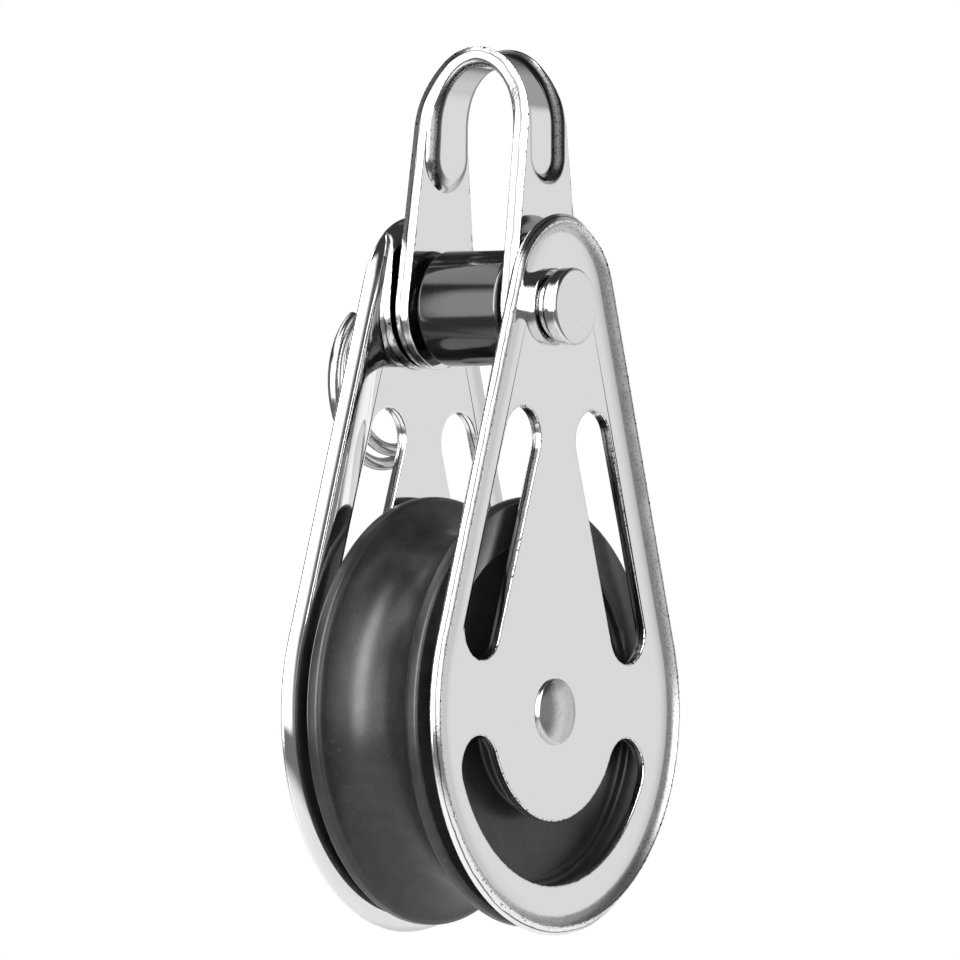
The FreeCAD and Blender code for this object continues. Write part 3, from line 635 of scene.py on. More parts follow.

# %% [markdown]
# Every mesh is finished the same way: its seams are closed, its faces turned outward and shaded
# smoothly, and only real corners stay crisp. Then the piece is tied to the body that it moves with
# and takes the place of its plain node.

# %% Finishing a piece
CRISP_DEGREES = 35
SEAM = 1e-7


def finish_mesh(name, bm, materials):
    """Close the seams, turn the faces outward, shade smoothly and make the object."""
    bmesh.ops.remove_doubles(bm, verts=bm.verts, dist=SEAM)
    bmesh.ops.recalc_face_normals(bm, faces=bm.faces)
    for face in bm.faces:
        face.smooth = True
    for edge in bm.edges:
        edge.smooth = edge.calc_face_angle(0) < math.radians(CRISP_DEGREES)
    mesh = bpy.data.meshes.new(name)
    bm.to_mesh(mesh)
    bm.free()
    for material in materials:
        mesh.materials.append(material)
    piece = bpy.data.objects.new(name, mesh)
    scene.collection.objects.link(piece)
    mesh.calc_loop_triangles()
    print(name, len(mesh.loop_triangles), "triangles")
    return piece


def place_on(piece, body, node):
    """The piece moves with its body and stands for its plain node."""
    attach(piece, body)
    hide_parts(node)
    return piece


print("corners stay crisp from", CRISP_DEGREES, "degrees")

# %% [markdown]
# Each cheek is stamped from sheet as a teardrop, and its rim is flared away from the rope. A
# mirror shows the smallest step in a curve, so the rim isn't bevelled: its section is worked out
# as a shallow dish and a tight bend that meet without a corner. The stamped edge at its end has
# small rounds of its own.

# %% The rim's section
SHEET = 1.1 * MM
DISH_RADIUS, DISH_ANGLE, DISH_STEPS = 14 * MM, math.radians(8), 5
FLARE_RADIUS, FLARE_ANGLE, FLARE_STEPS = 1.7 * MM, math.radians(52), 14
RIM_ROUND, HOLE_ROUND = 0.19 * MM, 0.13 * MM
RIM_ROUND_STEPS, HOLE_ROUND_STEPS = 5, 4
GLUE = 0.12 * MM
WORKED_BY, INNER_WORK = math.radians(10), 0.1
RIM_ROUND_SHARE = 0.1
FACE, EDGE = 0, 1


def rim_point(offset, angle):
    """Point of the bent rim at an angle, offset from its outer face; (outward, away)."""
    dish = min(angle, DISH_ANGLE)
    outward = (DISH_RADIUS + offset) * math.sin(dish)
    away = SHEET + DISH_RADIUS - (DISH_RADIUS + offset) * math.cos(dish)
    if angle > DISH_ANGLE:
        flare = FLARE_RADIUS + offset
        outward += flare * (math.sin(angle) - math.sin(DISH_ANGLE))
        away += flare * (math.cos(DISH_ANGLE) - math.cos(angle))
    return outward, away


def rim_skin(offset, angle, work, across):
    """A step on one face of the rim. The sheet is worked fully soon after the flare begins."""
    bent = min(max((angle - DISH_ANGLE) / WORKED_BY, 0), 1)
    return rim_point(offset, angle) + (FACE, (bent * work, across))


def rim_corner(corner, out, turns, side):
    """The small round at one side of the stamped edge; side is -1 for the outer one."""
    along = Vector((math.cos(FLARE_ANGLE), math.sin(FLARE_ANGLE)))
    steps = []
    for i in turns:
        turned_by = QUARTER * i / RIM_ROUND_STEPS
        spot = corner + along * RIM_ROUND * math.sin(turned_by)
        spot -= out * RIM_ROUND * (1 - math.cos(turned_by))
        across = 0.5 + side * (0.5 - RIM_ROUND_SHARE * i / RIM_ROUND_STEPS)
        steps.append((spot.x, spot.y, EDGE, (1, across)))
    return steps


def rim_steps():
    """The rim in section, from the outer flat round the stamped edge to the inner flat."""
    bends = even(0, DISH_ANGLE, DISH_STEPS)[:-1] + even(DISH_ANGLE, FLARE_ANGLE, FLARE_STEPS)
    outer = [rim_skin(0, angle, 1, 0) for angle in bends]
    inner = [rim_skin(SHEET, angle, INNER_WORK, 1) for angle in reversed(bends)]
    out = Vector((-math.sin(FLARE_ANGLE), math.cos(FLARE_ANGLE)))
    lip = outer.pop()[:2]
    edge = [lip + (EDGE, (1, 0))]
    edge += rim_corner(Vector(lip), out, range(1, RIM_ROUND_STEPS + 1), -1)
    edge += rim_corner(Vector(inner[0][:2]), -out, range(RIM_ROUND_STEPS - 1, 0, -1), 1)
    start, end = (-GLUE, SHEET, FACE, (0, 0)), (-GLUE, 0, FACE, (0, 1))
    return [start] + outer + edge + inner + [end]


def hole_steps():
    """The wall of a hole: face, rounded edge, wall, rounded edge, face."""
    turns = even(0, QUARTER, HOLE_ROUND_STEPS)
    soft = [(HOLE_ROUND * (1 - math.sin(a)), HOLE_ROUND * (1 - math.cos(a))) for a in turns]
    front = [(out, SHEET - sink, EDGE, (1, sink / SHEET)) for out, sink in soft]
    rear = [(out, sink, EDGE, (1, 1 - sink / SHEET)) for out, sink in reversed(soft)]
    far = HOLE_ROUND + GLUE
    return [(far, SHEET, FACE, (0, 0))] + front + rear + [(far, 0, FACE, (0, 1))]


print("rim reaches out, mm:", round(max(step[0] for step in rim_steps()) / MM, 2))

# %% [markdown]
# The cheek's outline is a hull round two circles: the belly round the sheave and the head round
# the pin. Two slots and a crescent window make it lighter. All the walls are grown first, and
# then each flat is filled between them in one go, which needs no boolean cuts and leaves no
# ridges in the mirror. The back cheek is the same stamping, turned round.

# %% The stamped cheeks
RIVET_HOLE, PIN_HOLE = 2.55 * MM, 3.1 * MM
SLOT_HALF = 3.06 * MM
SLOT_FOOT_X, SLOT_FOOT_Z = 12.75 * MM, 7.9 * MM
SLOT_HEAD_X, SLOT_HEAD_Z = 6.15 * MM, 26.5 * MM
CRESCENT_RISE, CRESCENT_TIP_DROP = 0.25 * MM, 5.85 * MM
CRESCENT_OUTER, CRESCENT_INNER = 17.2 * MM, 10.95 * MM
HULL_STEPS, SLOT_STEPS = 72, 24

_, cheek_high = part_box("front_cheek")
pin_low, pin_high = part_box("clevis_pin")
PIN_Z = (pin_low.z + pin_high.z) / 2


def cheek_holes():
    """Outlines of the slots, the window, and the holes for the rivet and the pin."""
    holes = []
    for way in (1, -1):
        foot = (way * SLOT_FOOT_X, SLOT_FOOT_Z, SLOT_HALF)
        head = (way * SLOT_HEAD_X, SLOT_HEAD_Z, SLOT_HALF)
        holes.append(spots_of_hull(foot, head, SLOT_STEPS))
    crescent = CRESCENT_RISE, CRESCENT_OUTER, CRESCENT_INNER, CRESCENT_TIP_DROP
    holes.append(spots_of_crescent(*crescent))
    holes.append(spots_of_circle(0, 0, RIVET_HOLE))
    holes.append(spots_of_circle(0, PIN_Z, PIN_HOLE))
    return holes


def build_cheek(name, node, side):
    """A cheek; side is -1 where its outer face looks along -Y, and 1 where along +Y."""
    low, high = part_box(node)
    inner_face = high.y if side < 0 else low.y
    rim = rim_steps()
    reach = max(step[0] for step in rim)
    belly = (0, 0, -low.z - reach)
    head = (0, PIN_Z, high.z - PIN_Z - reach)
    bm = bmesh.new()

    def height_of(away):
        return inner_face + side * away

    walls = [grow_wall(bm, spots_of_hull(belly, head, HULL_STEPS), rim, height_of)]
    for hole in cheek_holes():
        walls.append(grow_wall(bm, hole, hole_steps(), height_of))
    for end in (0, 1):
        edges = [edge for wall in walls for edge in wall[end]]
        bmesh.ops.triangle_fill(bm, use_beauty=True, edges=edges)
    piece = finish_mesh(name, bm, [polished, cheek_edge])
    return place_on(piece, "block", node)


build_cheek("cheek_front", "front_cheek", -1)
build_cheek("cheek_back", "back_cheek", 1)

# %% [markdown]
# A turned piece is a profile spun about the block's axle. The profile could be a curve with a
# screw modifier, but a spin in one step gives the final mesh at once and can merge its seam.

# %% Turned pieces
def arc(centre, radius, first, last, steps):
    """Points of an arc in a profile, given and measured as (radius, along), in degrees."""
    angles = even(math.radians(first), math.radians(last), steps)
    return [(centre[0] + radius * math.cos(a), centre[1] + radius * math.sin(a)) for a in angles]


def both_ways(half):
    """A profile's half on the +Y side, and its mirror image on the other side after it."""
    return half + [(radius, -along) for radius, along in reversed(half)]


def turned(name, profile, high, materials, closed=True, segments=192):
    """Spin a profile of (radius, along) about the Y axis at a height."""
    bm = bmesh.new()
    verts = [bm.verts.new((radius, along, high)) for radius, along in profile]
    pairs = zip(verts, verts[1:] + verts[:1] if closed else verts[1:])
    edges = [bm.edges.new(pair) for pair in pairs]
    bmesh.ops.spin(
        bm, geom=verts + edges, cent=(0, 0, high), axis=(0, 1, 0), angle=2 * math.pi,
        steps=segments, use_merge=True,
    )
    return finish_mesh(name, bm, materials)


print("half a turn in two steps:", [round(r, 2) for r, _ in arc((0, 0), 1, 0, 180, 2)])

# %% [markdown]
# The sheave is the wheel that the rope runs over. Its groove is one wide arc, its flanges are
# rounded, and its sides are hollowed between rim and hub so that it is light and touches the
# cheeks only near the axle. A fine lip runs where the groove meets the flange.

# %% The sheave
SHEAVE_HALF, GROOVE_FLOOR, GROOVE_MOUTH = 6.5 * MM, 17.2 * MM, 5.05 * MM
GROOVE_SHARE, GROOVE_STEPS = 0.94, 48
FLANGE_ROUND, FLANGE_LIP = 0.45 * MM, 0.3 * MM
LIP_DROP, LIP_GAP = 0.05 * MM, 0.02 * MM
SIDE_RIM, SIDE_HUB, SIDE_WEB, SHEAVE_BORE = 16.6 * MM, 9.3 * MM, 5.5 * MM, 5.0 * MM
RIM_SOFT, FILLET = 0.3 * MM, 0.4 * MM


def build_sheave():
    _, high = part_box("sheave")
    flange, hub_face = high.x, high.y
    depth = flange - GROOVE_FLOOR
    groove = (GROOVE_MOUTH ** 2 + depth ** 2) / (2 * depth)
    swing = math.degrees(math.asin(GROOVE_MOUTH / groove)) * GROOVE_SHARE
    crest = flange - FLANGE_ROUND
    rim = SIDE_RIM + RIM_SOFT
    side = [(flange - FLANGE_LIP, GROOVE_MOUTH - LIP_DROP)]
    side += arc((crest, GROOVE_MOUTH + FLANGE_ROUND + LIP_GAP), FLANGE_ROUND, -60, 0, 5)
    side += arc((crest, SHEAVE_HALF - FLANGE_ROUND), FLANGE_ROUND, 0, 90, 6)
    side += arc((rim, SHEAVE_HALF - RIM_SOFT), RIM_SOFT, 90, 180, 4)
    side += arc((SIDE_RIM - FILLET, SIDE_WEB + FILLET), FILLET, 0, -90, 4)
    side += arc((SIDE_HUB + FILLET, SIDE_WEB + FILLET), FILLET, -90, -180, 4)
    side += arc((SIDE_HUB - FILLET, hub_face - FILLET), FILLET, 0, 90, 5)
    side += [(SHEAVE_BORE, hub_face)]
    channel = arc((GROOVE_FLOOR + groove, 0), groove, 180 + swing, 180 - swing, GROOVE_STEPS)
    piece = turned("sheave_grooved", channel + both_ways(side), 0, [dark_satin], segments=256)
    return place_on(piece, "sheave", "sheave")


build_sheave()

# %% [markdown]
# The sleeve is a glossy black roller on the pin. It keeps the bow's legs apart, and its soft
# ends are all that breaks its mirror-like side.

# %% The sleeve
SLEEVE_BORE, SLEEVE_ROUND = 3.1 * MM, 0.5 * MM


def build_sleeve():
    _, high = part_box("pin_sleeve")
    corner = (high.x - SLEEVE_ROUND, high.y - SLEEVE_ROUND)
    side = arc(corner, SLEEVE_ROUND, 0, 90, 8) + [(SLEEVE_BORE, high.y)]
    piece = turned("sleeve_black", both_ways(side), PIN_Z, [black_gloss], segments=128)
    return place_on(piece, "sleeve", "pin_sleeve")


build_sleeve()

# %% [markdown]
# The bow is one strip, bent into a U, with a bead pressed into it for stiffness: a groove on the
# outside and a ridge on the inside. The strip is modelled flat, as it lay before it was bent. Each
# point has a place across the strip, a drop along it from the top, and a depth into it, and one
# function bends that point round the crown and the shoulder. Only a quarter is modelled, and two
# mirrors make the rest. The rows follow the bends, so the reflections run evenly round them.

# %% The strip's line from the side
BOW_SHEET, CROWN_SHEET = 1.6 * MM, 1.3 * MM
CROWN_RADIUS = 5.7 * MM
SHOULDER_Z = 57 * MM
BOW_LEAN = math.radians(1)
BOW_TOP = 65.2 * MM
LEG_SPREAD = 7.05 * MM
crown_centre = Vector((0, BOW_TOP - CROWN_RADIUS))
leg_reach = LEG_SPREAD - (SHOULDER_Z - PIN_Z) * math.tan(BOW_LEAN)
crown_rise = crown_centre.y - SHOULDER_Z
shoulder_radius = (leg_reach ** 2 + crown_rise ** 2 - CROWN_RADIUS ** 2) / (
    2 * (leg_reach - CROWN_RADIUS)
)
shoulder_centre = Vector((leg_reach - shoulder_radius, SHOULDER_Z))
meet_angle = math.atan2(crown_rise, -shoulder_centre.x)
crown_run = CROWN_RADIUS * (QUARTER - meet_angle)
shoulder_run = shoulder_radius * (meet_angle - BOW_LEAN)
leg_start = crown_run + shoulder_run
leg_top_z = SHOULDER_Z + shoulder_radius * math.sin(BOW_LEAN)


def bow_line(drop):
    """Where the strip's outer line is at a drop, as (place, way out), both in (y, z)."""
    if drop < crown_run:
        angle, centre, radius = QUARTER - drop / CROWN_RADIUS, crown_centre, CROWN_RADIUS
    else:
        turned_by = min(drop - crown_run, shoulder_run) / shoulder_radius
        angle, centre, radius = meet_angle - turned_by, shoulder_centre, shoulder_radius
    out = Vector((math.cos(angle), math.sin(angle)))
    rest = max(drop - leg_start, 0)
    return centre + out * radius + Vector((out.y, -out.x)) * rest, out


def bend(across, drop, depth):
    """A point of the flat strip on the bent bow."""
    place, out = bow_line(drop)
    spot = place - out * depth
    return Vector((across, spot.x, spot.y))


def drop_at(z):
    """The drop to a height on the leg."""
    return leg_start + (leg_top_z - z) / math.cos(BOW_LEAN)


def smooth(t):
    """A soft step from 0 to 1, level at both ends."""
    t = min(max(t, 0), 1)
    return t * t * (3 - 2 * t)


def sheet_at(drop):
    """The strip is stretched thinner round the crown and has its full thickness in the legs."""
    return CROWN_SHEET + (BOW_SHEET - CROWN_SHEET) * smooth((drop - crown_run) / shoulder_run)


print("shoulder radius, mm:", round(shoulder_radius / MM, 2))
print("legs start at height, mm:", round(leg_top_z / MM, 2))

# %% [markdown]
# Seen flat, the strip has a narrow neck at the crown and widens in a straight taper to its round
# ends. The bead's groove has a wall that turns out smoothly, and its ridge ends in a crisp foot,
# as pressed steel has on its two sides.

# %% The strip's outline and its bead
BOW_END = 6 * MM
BOW_TAPER = math.radians(7.9)
NECK_HALF, NECK_BLEND = 2.85 * MM, 30 * MM
BEAD_Z = 54.4 * MM
BEAD_DEPTH, BEAD_RUN = 0.8 * MM, 1.4 * MM
GROOVE_HALF, RIDGE_HALF = 3.1 * MM, 3.5 * MM
blend_drop = NECK_BLEND * math.sin(BOW_TAPER)
blend_out = NECK_HALF + NECK_BLEND * (1 - math.cos(BOW_TAPER))
neck_z = PIN_Z + blend_drop + (BOW_END - math.cos(BOW_TAPER) * blend_out) / math.sin(BOW_TAPER)
pin_drop, bead_drop = drop_at(PIN_Z), drop_at(BEAD_Z)


def half_width(z):
    """Half the strip's width at a height: neck, blend or straight taper."""
    if z > neck_z - blend_drop:
        return NECK_HALF + NECK_BLEND - math.sqrt(NECK_BLEND ** 2 - max(neck_z - z, 0) ** 2)
    return (BOW_END - (z - PIN_Z) * math.sin(BOW_TAPER)) / math.cos(BOW_TAPER)


def groove_half(_drop):
    """Half the width of the groove, which is the same all along."""
    return GROOVE_HALF


def ridge_half(drop):
    """Half the width of the ridge, which narrows with the strip towards the crown."""
    return NECK_HALF + (RIDGE_HALF - NECK_HALF) * min(drop / bead_drop, 1)


def groove_at(off):
    """Depth of the groove at a distance from its middle line: a wall that turns out smoothly."""
    t = (GROOVE_HALF - off) / BEAD_RUN
    if t <= 0 or t >= 1:
        return 0 if t <= 0 else BEAD_DEPTH
    turn_radius = (BEAD_RUN ** 2 + BEAD_DEPTH ** 2) / (4 * BEAD_DEPTH)
    reach = min(t, 1 - t) * BEAD_RUN
    rise = turn_radius - math.sqrt(turn_radius ** 2 - reach ** 2)
    return rise if t < 0.5 else BEAD_DEPTH - rise


def ridge_at(off, drop):
    """Height of the ridge at a distance from its middle line: one arc down to a crisp foot."""
    half = ridge_half(drop)
    run = BEAD_RUN * half / RIDGE_HALF
    reach = off - (half - run)
    if reach <= 0:
        return BEAD_DEPTH
    if reach >= run:
        return 0
    arc_radius = (run ** 2 + BEAD_DEPTH ** 2) / (2 * BEAD_DEPTH)
    return BEAD_DEPTH - (arc_radius - math.sqrt(arc_radius ** 2 - reach ** 2))


def outer_depth(off, _drop):
    """Depth of the outer face."""
    return groove_at(off)


def inner_depth(off, drop):
    """Depth of the inner face."""
    return sheet_at(drop) + ridge_at(off, drop)


print("the neck ends at height, mm:", round((neck_z - blend_drop) / MM, 2))

# %% [markdown]
# The land is the flat of the strip beside the bead. Its rows run straight across beside the
# bead, fan out round the bead's end, and end round the pin's hole. A row knows its two ends and
# which way the stamped edge looks there.

# %% Rows of the quarter strip
CROWN_ROWS, SHOULDER_ROWS, STEM_ROWS, FAN_ROWS, MIDDLE_ROWS, HOLE_ROWS = 22, 22, 5, 20, 8, 40
FAN_FOOT_Z, HOLE_HEAD_Z = 51 * MM, 46 * MM
BOW_ROUND = 0.13 * MM
NUDGE = 0.01 * MM
Land = namedtuple("Land", "inner outer out hole_way beside_bead")


def bead_rows():
    """Rows from the crown down to the bead's end, as drops."""
    rows = even(0, crown_run, CROWN_ROWS)
    rows += even(crown_run, leg_start, SHOULDER_ROWS)[1:]
    return rows + even(leg_start, bead_drop, STEM_ROWS)[1:]


def outline_spot(z):
    """A spot of the outline on the taper: across, and its way out."""
    across = half_width(z)
    lean = (half_width(z - NUDGE) - half_width(z + NUDGE)) / (2 * NUDGE)
    return across, Vector((1, -lean)).normalized()


def bead_lands(foot_half):
    """Rows beside the bead."""
    lands = []
    for drop in bead_rows():
        across, out = outline_spot(bow_line(drop)[0].y)
        foot = Vector((foot_half(drop), drop))
        lands.append(Land(foot, Vector((across, drop)), out, None, True))
    return lands


def stem_lands(foot_half):
    """Rows that fan out round the bead's end and go on to the pin's hole."""
    heights = even(BEAD_Z, FAN_FOOT_Z, FAN_ROWS)[1:]
    heights += even(FAN_FOOT_Z, HOLE_HEAD_Z, MIDDLE_ROWS)[1:]
    centre = Vector((0, bead_drop))
    foot = foot_half(bead_drop)
    fan = even(0, QUARTER, FAN_ROWS)[1:]
    inner = [centre + Vector((math.cos(a), math.sin(a))) * foot for a in fan]
    hole_top = pin_drop - PIN_HOLE - BOW_ROUND
    inner += [Vector((0, drop)) for drop in even(bead_drop + foot, hole_top, MIDDLE_ROWS)[1:]]
    lands = []
    for place, z in zip(inner, heights):
        across, out = outline_spot(z)
        lands.append(Land(place, Vector((across, drop_at(z))), out, None, False))
    return lands


def hole_lands():
    """Rows round the pin's hole, from its top to its foot."""
    taper_foot = PIN_Z + BOW_END * math.sin(BOW_TAPER)
    pin = Vector((0, pin_drop))
    lands = []
    for angle in even(-QUARTER, QUARTER, HOLE_ROWS):
        way = Vector((math.cos(angle), math.sin(angle)))
        outer, out = pin + way * BOW_END, way
        if angle < -BOW_TAPER:
            share = (angle + QUARTER) / (QUARTER - BOW_TAPER)
            z = HOLE_HEAD_Z + (taper_foot - HOLE_HEAD_Z) * share
            across, out = outline_spot(z)
            outer = Vector((across, drop_at(z)))
        lands.append(Land(pin + way * (PIN_HOLE + BOW_ROUND), outer, out, -way, False))
    return lands


def land_rows(foot_half):
    """All the rows of the land, in (across, drop); foot_half is half the bead at a drop."""
    return bead_lands(foot_half) + stem_lands(foot_half) + hole_lands()


print("rows of the land:", len(land_rows(ridge_half)))

# %% [markdown]
# Each face of the strip is two grids: one over the bead and its round end, and one over the land.
# Pressing works the bead's walls most, and bending stretches the outer skin of the crown, so every
# vertex is marked with both. The same marks darken the walls and the crown's top, which is painted
# shade.

# %% The strip's two faces
FLAT_COLUMNS, WALL_COLUMNS = 5, 14
LAND_SHARES = (0, 0.05, 0.5, 0.95, 1)
LEAST_LAND = 0.03 * MM
TORN_INSET, TORN_SHARE = 0.16 * MM, 0.43
INNER_WALL, WALL_FOOT, WALL_TOP, FAN_CALM = 0.72, 6, 8, 1.6
CROWN_STRETCH_AND_SHADE, CROWN_HOLD, CROWN_FADE = 0.75, 2.2, 1.6
BEYOND_BEAD = 1.0


def put_grid(bm, rows, columns, place, material=FACE):
    """A grid of faces, each vertex put where place(row, column) says, with its marks."""
    worked, across = mark_layers(bm)
    made = bmesh.ops.create_grid(bm, x_segments=columns, y_segments=rows, size=1)["verts"]
    for vert in made:
        column = round((vert.co.x + 1) / 2 * columns)
        row = round((vert.co.y + 1) / 2 * rows)
        vert.co, vert[worked], vert[across] = place(row, column)
    for face in {face for vert in made for face in vert.link_faces}:
        face.material_index = material


def crown_stretch_and_shade(drop):
    """The bend stretches the outer skin round the crown, most at the top; the same number darkens
    the crown's top as painted shade.
    """
    return CROWN_STRETCH_AND_SHADE * smooth(CROWN_HOLD - CROWN_FADE * drop / crown_run)


def flat_half(drop, inside):
    """Half the width of the bead's flat middle, on the ridge or in the groove."""
    if inside:
        return ridge_half(drop) * (1 - BEAD_RUN / RIDGE_HALF)
    return GROOVE_HALF - BEAD_RUN


def bow_face(bm, inside):
    """One face of the quarter strip. inside is its number across the edge: 0 outer, 1 inner."""
    foot_half = ridge_half if inside else groove_half
    depth_at = inner_depth if inside else outer_depth
    inset = BOW_ROUND if inside else BOW_ROUND + TORN_INSET
    lands = land_rows(foot_half)
    drops = bead_rows()
    end = len(drops) - 1
    centre = Vector((0, bead_drop))

    def off_at(row, column):
        drop = drops[min(row, end)]
        flat = flat_half(drop, inside)
        if column <= FLAT_COLUMNS:
            return flat * column / FLAT_COLUMNS
        foot = min(foot_half(drop), lands[min(row, end)].outer.x - inset - LEAST_LAND)
        return flat + (foot - flat) * (column - FLAT_COLUMNS) / WALL_COLUMNS

    def bead_place(row, column):
        drop, off = drops[min(row, end)], off_at(row, column)
        wall = (column - FLAT_COLUMNS) / WALL_COLUMNS
        worked = smooth(wall * WALL_FOOT) * smooth((1 - wall) * WALL_TOP)
        # The inner walls and the crown's top are darkened by how much they are marked: painted
        # shade.
        worked = worked * INNER_WALL if inside else max(worked, crown_stretch_and_shade(drop))
        if row <= end:
            return bend(off, drop, depth_at(off, drop)), worked, inside
        angle = QUARTER * (row - end) / FAN_ROWS
        spot = centre + Vector((math.cos(angle), math.sin(angle))) * off
        worked *= smooth(FAN_CALM - angle)
        return bend(spot.x, spot.y, depth_at(off, bead_drop)), worked, inside

    def land_place(row, column):
        inner, outer, out, _, beside_bead = lands[row]
        if beside_bead:
            inner = Vector((off_at(row, FLAT_COLUMNS + WALL_COLUMNS), drops[row]))
        spot = inner.lerp(outer - out * inset, LAND_SHARES[column])
        # The outer land near the crown is darkened too: painted shade.
        worked = 0 if inside else crown_stretch_and_shade(spot.y)
        off = spot.x if beside_bead else BEYOND_BEAD
        return bend(spot.x, spot.y, depth_at(off, spot.y)), worked, inside

    put_grid(bm, end + FAN_ROWS, FLAT_COLUMNS + WALL_COLUMNS, bead_place)
    put_grid(bm, len(lands) - 1, len(LAND_SHARES) - 1, land_place)


print("columns of a face:", FLAT_COLUMNS + WALL_COLUMNS + len(LAND_SHARES) - 1)

# %% [markdown]
# The stamped edge closes the strip between its two faces, along the outline and in the pin's
# hole. It has two small rounds and a wall between them, which bends where it was torn.

# %% The strip's stamped edge
BOW_ROUND_STEPS, ROUND_SHARE = 5, 0.1
WALL_STEP = 0.03


def edge_columns():
    """Columns of the edge: (angle of the round, share of the depth, number across the edge)."""
    turns = even(0, QUARTER, BOW_ROUND_STEPS)
    near = [(angle, 0, ROUND_SHARE * math.sin(angle)) for angle in turns]
    far = [(angle, 1, 1 - ROUND_SHARE * math.sin(angle)) for angle in reversed(turns)]
    bend_shares = [TORN_SHARE - WALL_STEP, TORN_SHARE, TORN_SHARE + WALL_STEP]
    shares = [WALL_STEP] + bend_shares + [1 - WALL_STEP]
    wall = [(QUARTER, share, ROUND_SHARE + (1 - 2 * ROUND_SHARE) * share) for share in shares]
    return near + wall + far


def edge_strip(bm, line, torn):
    """The stamped edge along a line of (spot, way out, whether it is beside the bead).

    torn is how far the edge stands in where it meets the outer face.
    """
    columns = edge_columns()

    def place(row, column):
        spot, out, beside_bead = line[row]
        angle, share, across = columns[column]
        inset = BOW_ROUND * (1 - math.sin(angle)) + torn * max(1 - share / TORN_SHARE, 0)
        spot = spot - out * inset
        sink = BOW_ROUND * (1 - math.cos(angle))
        off = spot.x if beside_bead else BEYOND_BEAD
        near = outer_depth(off, spot.y) + sink
        far = inner_depth(off, spot.y) - sink
        return bend(spot.x, spot.y, near + (far - near) * share), 1, across

    put_grid(bm, len(line) - 1, len(columns) - 1, place, EDGE)


print("columns of the edge:", len(edge_columns()))

# %% [markdown]
# Now the quarter is put together, closed and mirrored twice. The left side of the outer face keeps
# little of its work marks, so that side is painted lighter than the other. A closed mesh has two
# faces at every edge, and a count shows if one is open.

# %% The bow
LIGHTER_LEFT_SHARE, ON_OUTER_FACE = 0.15, 0.01


def paint_left_side_lighter(bm):
    """The outer face left of its middle and below the crown keeps little of its work, so it is
    painted lighter.
    """
    worked, across = mark_layers(bm)
    for vert in bm.verts:
        if vert.co.x < 0 and vert[across] < ON_OUTER_FACE and vert.co.z < crown_centre.y:
            vert[worked] *= LIGHTER_LEFT_SHARE


def build_bow():
    bm = bmesh.new()
    for inside in (0, 1):
        bow_face(bm, inside)
    lands = land_rows(ridge_half)
    edge_strip(bm, [(land.outer, land.out, land.beside_bead) for land in lands], TORN_INSET)
    hole = [(land.inner, land.hole_way) for land in lands if land.hole_way is not None]
    edge_strip(bm, [(spot + way * BOW_ROUND, way, False) for spot, way in hole], 0)
    bmesh.ops.remove_doubles(bm, verts=bm.verts, dist=SEAM)
    for axis in ("X", "Y"):
        everything = bm.verts[:] + bm.edges[:] + bm.faces[:]
        bmesh.ops.mirror(bm, geom=everything, merge_dist=SEAM, axis=axis)
    paint_left_side_lighter(bm)
    print("bow: open edges", len([edge for edge in bm.edges if len(edge.link_faces) != 2]))
    piece = finish_mesh("bow_bent", bm, [pressed, bow_edge])
    return place_on(piece, "bow", "bow")


build_bow()

# %% [markdown]
# The clevis pin is turned from bar: a flat head with a soft edge, a plain shank, and a chamfered
# tail with a cross-hole for the split ring. The spin makes the turned form, and a cylinder cuts
# the hole, because it is the only thing on the pin that is off its axis.

# %% The clevis pin
PIN_HEAD, PIN_SHANK = 3.8 * MM, 3 * MM
HEAD_THICK = 1.4 * MM
HEAD_FRONT_ROUND, HEAD_REAR_ROUND, HEAD_FILLET = 0.4 * MM, 0.2 * MM, 0.15 * MM
HEAD_RING, SHANK_RING = 0.1 * MM, 2 * MM
PIN_TAIL, PIN_CHAMFER = 1.75 * MM, 0.6 * MM
CROSS_HOLE, DRILL_LENGTH = 1.25 * MM, 10 * MM
RING_Y = pin_high.y - PIN_TAIL
TO_X = Matrix.Rotation(QUARTER, 4, "Y")


def cut_away(piece, cutter):
    """Cut one object out of another for good, and remove the cutter."""
    cut = piece.modifiers.new("cut", "BOOLEAN")
    cut.operation, cut.solver, cut.object = "DIFFERENCE", "EXACT", cutter
    whole = piece.data
    result = piece.evaluated_get(bpy.context.evaluated_depsgraph_get())
    piece.data = bpy.data.meshes.new_from_object(result)
    piece.modifiers.clear()
    bpy.data.meshes.remove(whole)
    bpy.data.objects.remove(cutter)


def build_pin():
    face, seat = pin_low.y, pin_low.y + HEAD_THICK
    front, rear, fillet = HEAD_FRONT_ROUND, HEAD_REAR_ROUND, HEAD_FILLET
    profile = [(0, face), (PIN_HEAD - front - HEAD_RING, face)]
    profile += arc((PIN_HEAD - front, face + front), front, -90, 0, 8)
    profile += arc((PIN_HEAD - rear, seat - rear), rear, 0, 90, 5)
    profile += arc((PIN_SHANK + fillet, seat + fillet), fillet, 270, 180, 4)
    profile += [(PIN_SHANK, RING_Y - SHANK_RING), (PIN_SHANK, pin_high.y - PIN_CHAMFER)]
    profile += [(PIN_SHANK - PIN_CHAMFER, pin_high.y), (0, pin_high.y)]
    piece = turned("pin_turned", profile, PIN_Z, [steel_pin], closed=False, segments=160)
    bm = bmesh.new()
    bmesh.ops.create_cone(
        bm, cap_ends=True, segments=48, radius1=CROSS_HOLE, radius2=CROSS_HOLE,
        depth=DRILL_LENGTH, matrix=Matrix.Translation((0, RING_Y, PIN_Z)) @ TO_X,
    )
    drill = finish_mesh("drill", bm, [steel_pin])
    cut_away(piece, drill)
    return place_on(piece, "block", "clevis_pin")


build_pin()

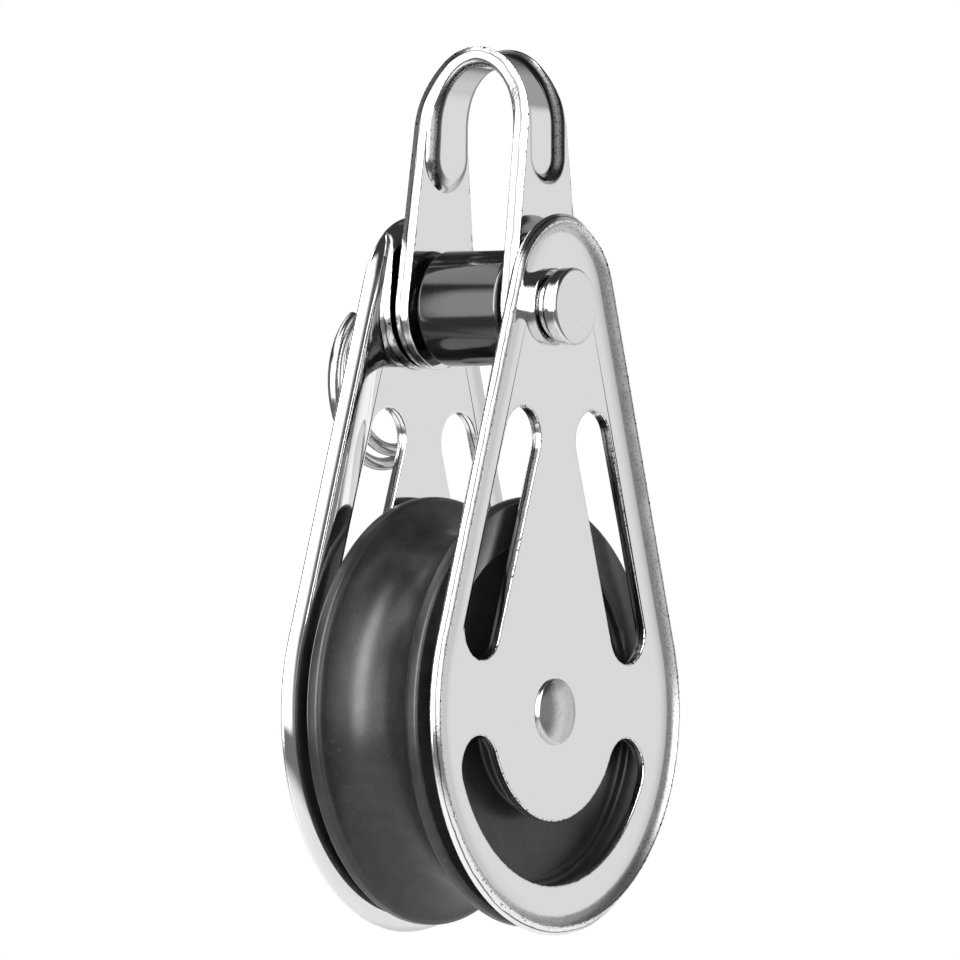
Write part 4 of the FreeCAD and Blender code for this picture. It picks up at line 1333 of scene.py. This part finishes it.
# %% [markdown]
# The rivet holds the axle together. Only its two low domes are ever seen, but it is made whole.
# A dome is part of a sphere, whose radius follows from how wide and how high it is.

# %% The axle rivet
RIVET_SHANK = 2.5 * MM
DOME_EDGE, DOME_ROUND, DOME_SINK = 0.3 * MM, 0.22 * MM, 0.75


def build_rivet():
    low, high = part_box("axle_rivet")
    head, seat = high.x, cheek_high.y - SHEET
    rise = seat - low.y - DOME_EDGE
    dome = (head ** 2 + rise ** 2) / (2 * rise)
    crest = head - DOME_ROUND
    reach = math.degrees(math.asin(crest / dome))
    cap = arc((0, low.y + dome), dome, 270, 270 + reach, 14)
    rim = arc((crest, seat - DOME_EDGE + DOME_ROUND * DOME_SINK), DOME_ROUND, -60, 0, 5)
    profile = both_ways(cap + rim + [(head, seat), (RIVET_SHANK, seat)])
    piece = turned("rivet_domed", profile, 0, [steel_rivet], closed=False, segments=160)
    return place_on(piece, "block", "axle_rivet")


build_rivet()

# %% [markdown]
# The split ring is one length of sprung wire wound nearly twice round. It hangs on the pin by
# the middle of its length, where the two turns meet in the cross-hole, so each turn is spun from
# there. A screw motion, which moves along the axis as it turns, keeps the turns side by side.

# %% The split ring
WIRE, WIRE_SIDES = 0.65 * MM, 28
RING_TURNS = ((7.05 * MM, -328), (7.75 * MM, 328))
RING_PITCH = 1.3 * MM
RING_STEPS = 150
WIRE_END_ROUND = 0.15 * MM
ring_slope = RING_PITCH / (math.pi * sum(radius for radius, _ in RING_TURNS))
ring_top = PIN_Z + (CROSS_HOLE - WIRE) / 2


def build_ring():
    bm = bmesh.new()
    upright = Matrix.Translation((0, RING_Y, ring_top)) @ TO_X
    for radius, degrees in RING_TURNS:
        swing = math.radians(degrees)
        circle = bmesh.ops.create_circle(
            bm, cap_ends=False, segments=WIRE_SIDES, radius=WIRE, matrix=upright,
        )["verts"]
        advance = ring_slope * radius * swing / RING_STEPS
        spun = bmesh.ops.spin(
            bm, geom=circle + edges_of(circle), cent=(0, RING_Y, ring_top - radius),
            axis=(0, 1, 0), dvec=(0, advance, 0), angle=swing, steps=RING_STEPS,
        )
        last = [item for item in spun["geom_last"] if isinstance(item, bmesh.types.BMEdge)]
        bmesh.ops.edgeloop_fill(bm, edges=last)
        bmesh.ops.bevel(
            bm, geom=last, offset=WIRE_END_ROUND, offset_type="OFFSET", segments=3, profile=0.5,
            material=-1, affect="EDGES",
        )
    piece = finish_mesh("ring_wound", bm, [steel_wire])
    return place_on(piece, "ring", "split_ring")


build_ring()

# %% [markdown]
# The axle tube and the bearing bush are closed in by the sheave and the cheeks. Their plain shapes
# are right as they are, so they stay and only get their finishes.

# %% The pieces inside
for node, material in (("axle_tube", steel_tube), ("bearing_bush", bush_plain)):
    for slot in bpy.data.objects[node].material_slots:
        slot.material = material
    print(node, "has", material.name)

bpy.context.view_layer.update()
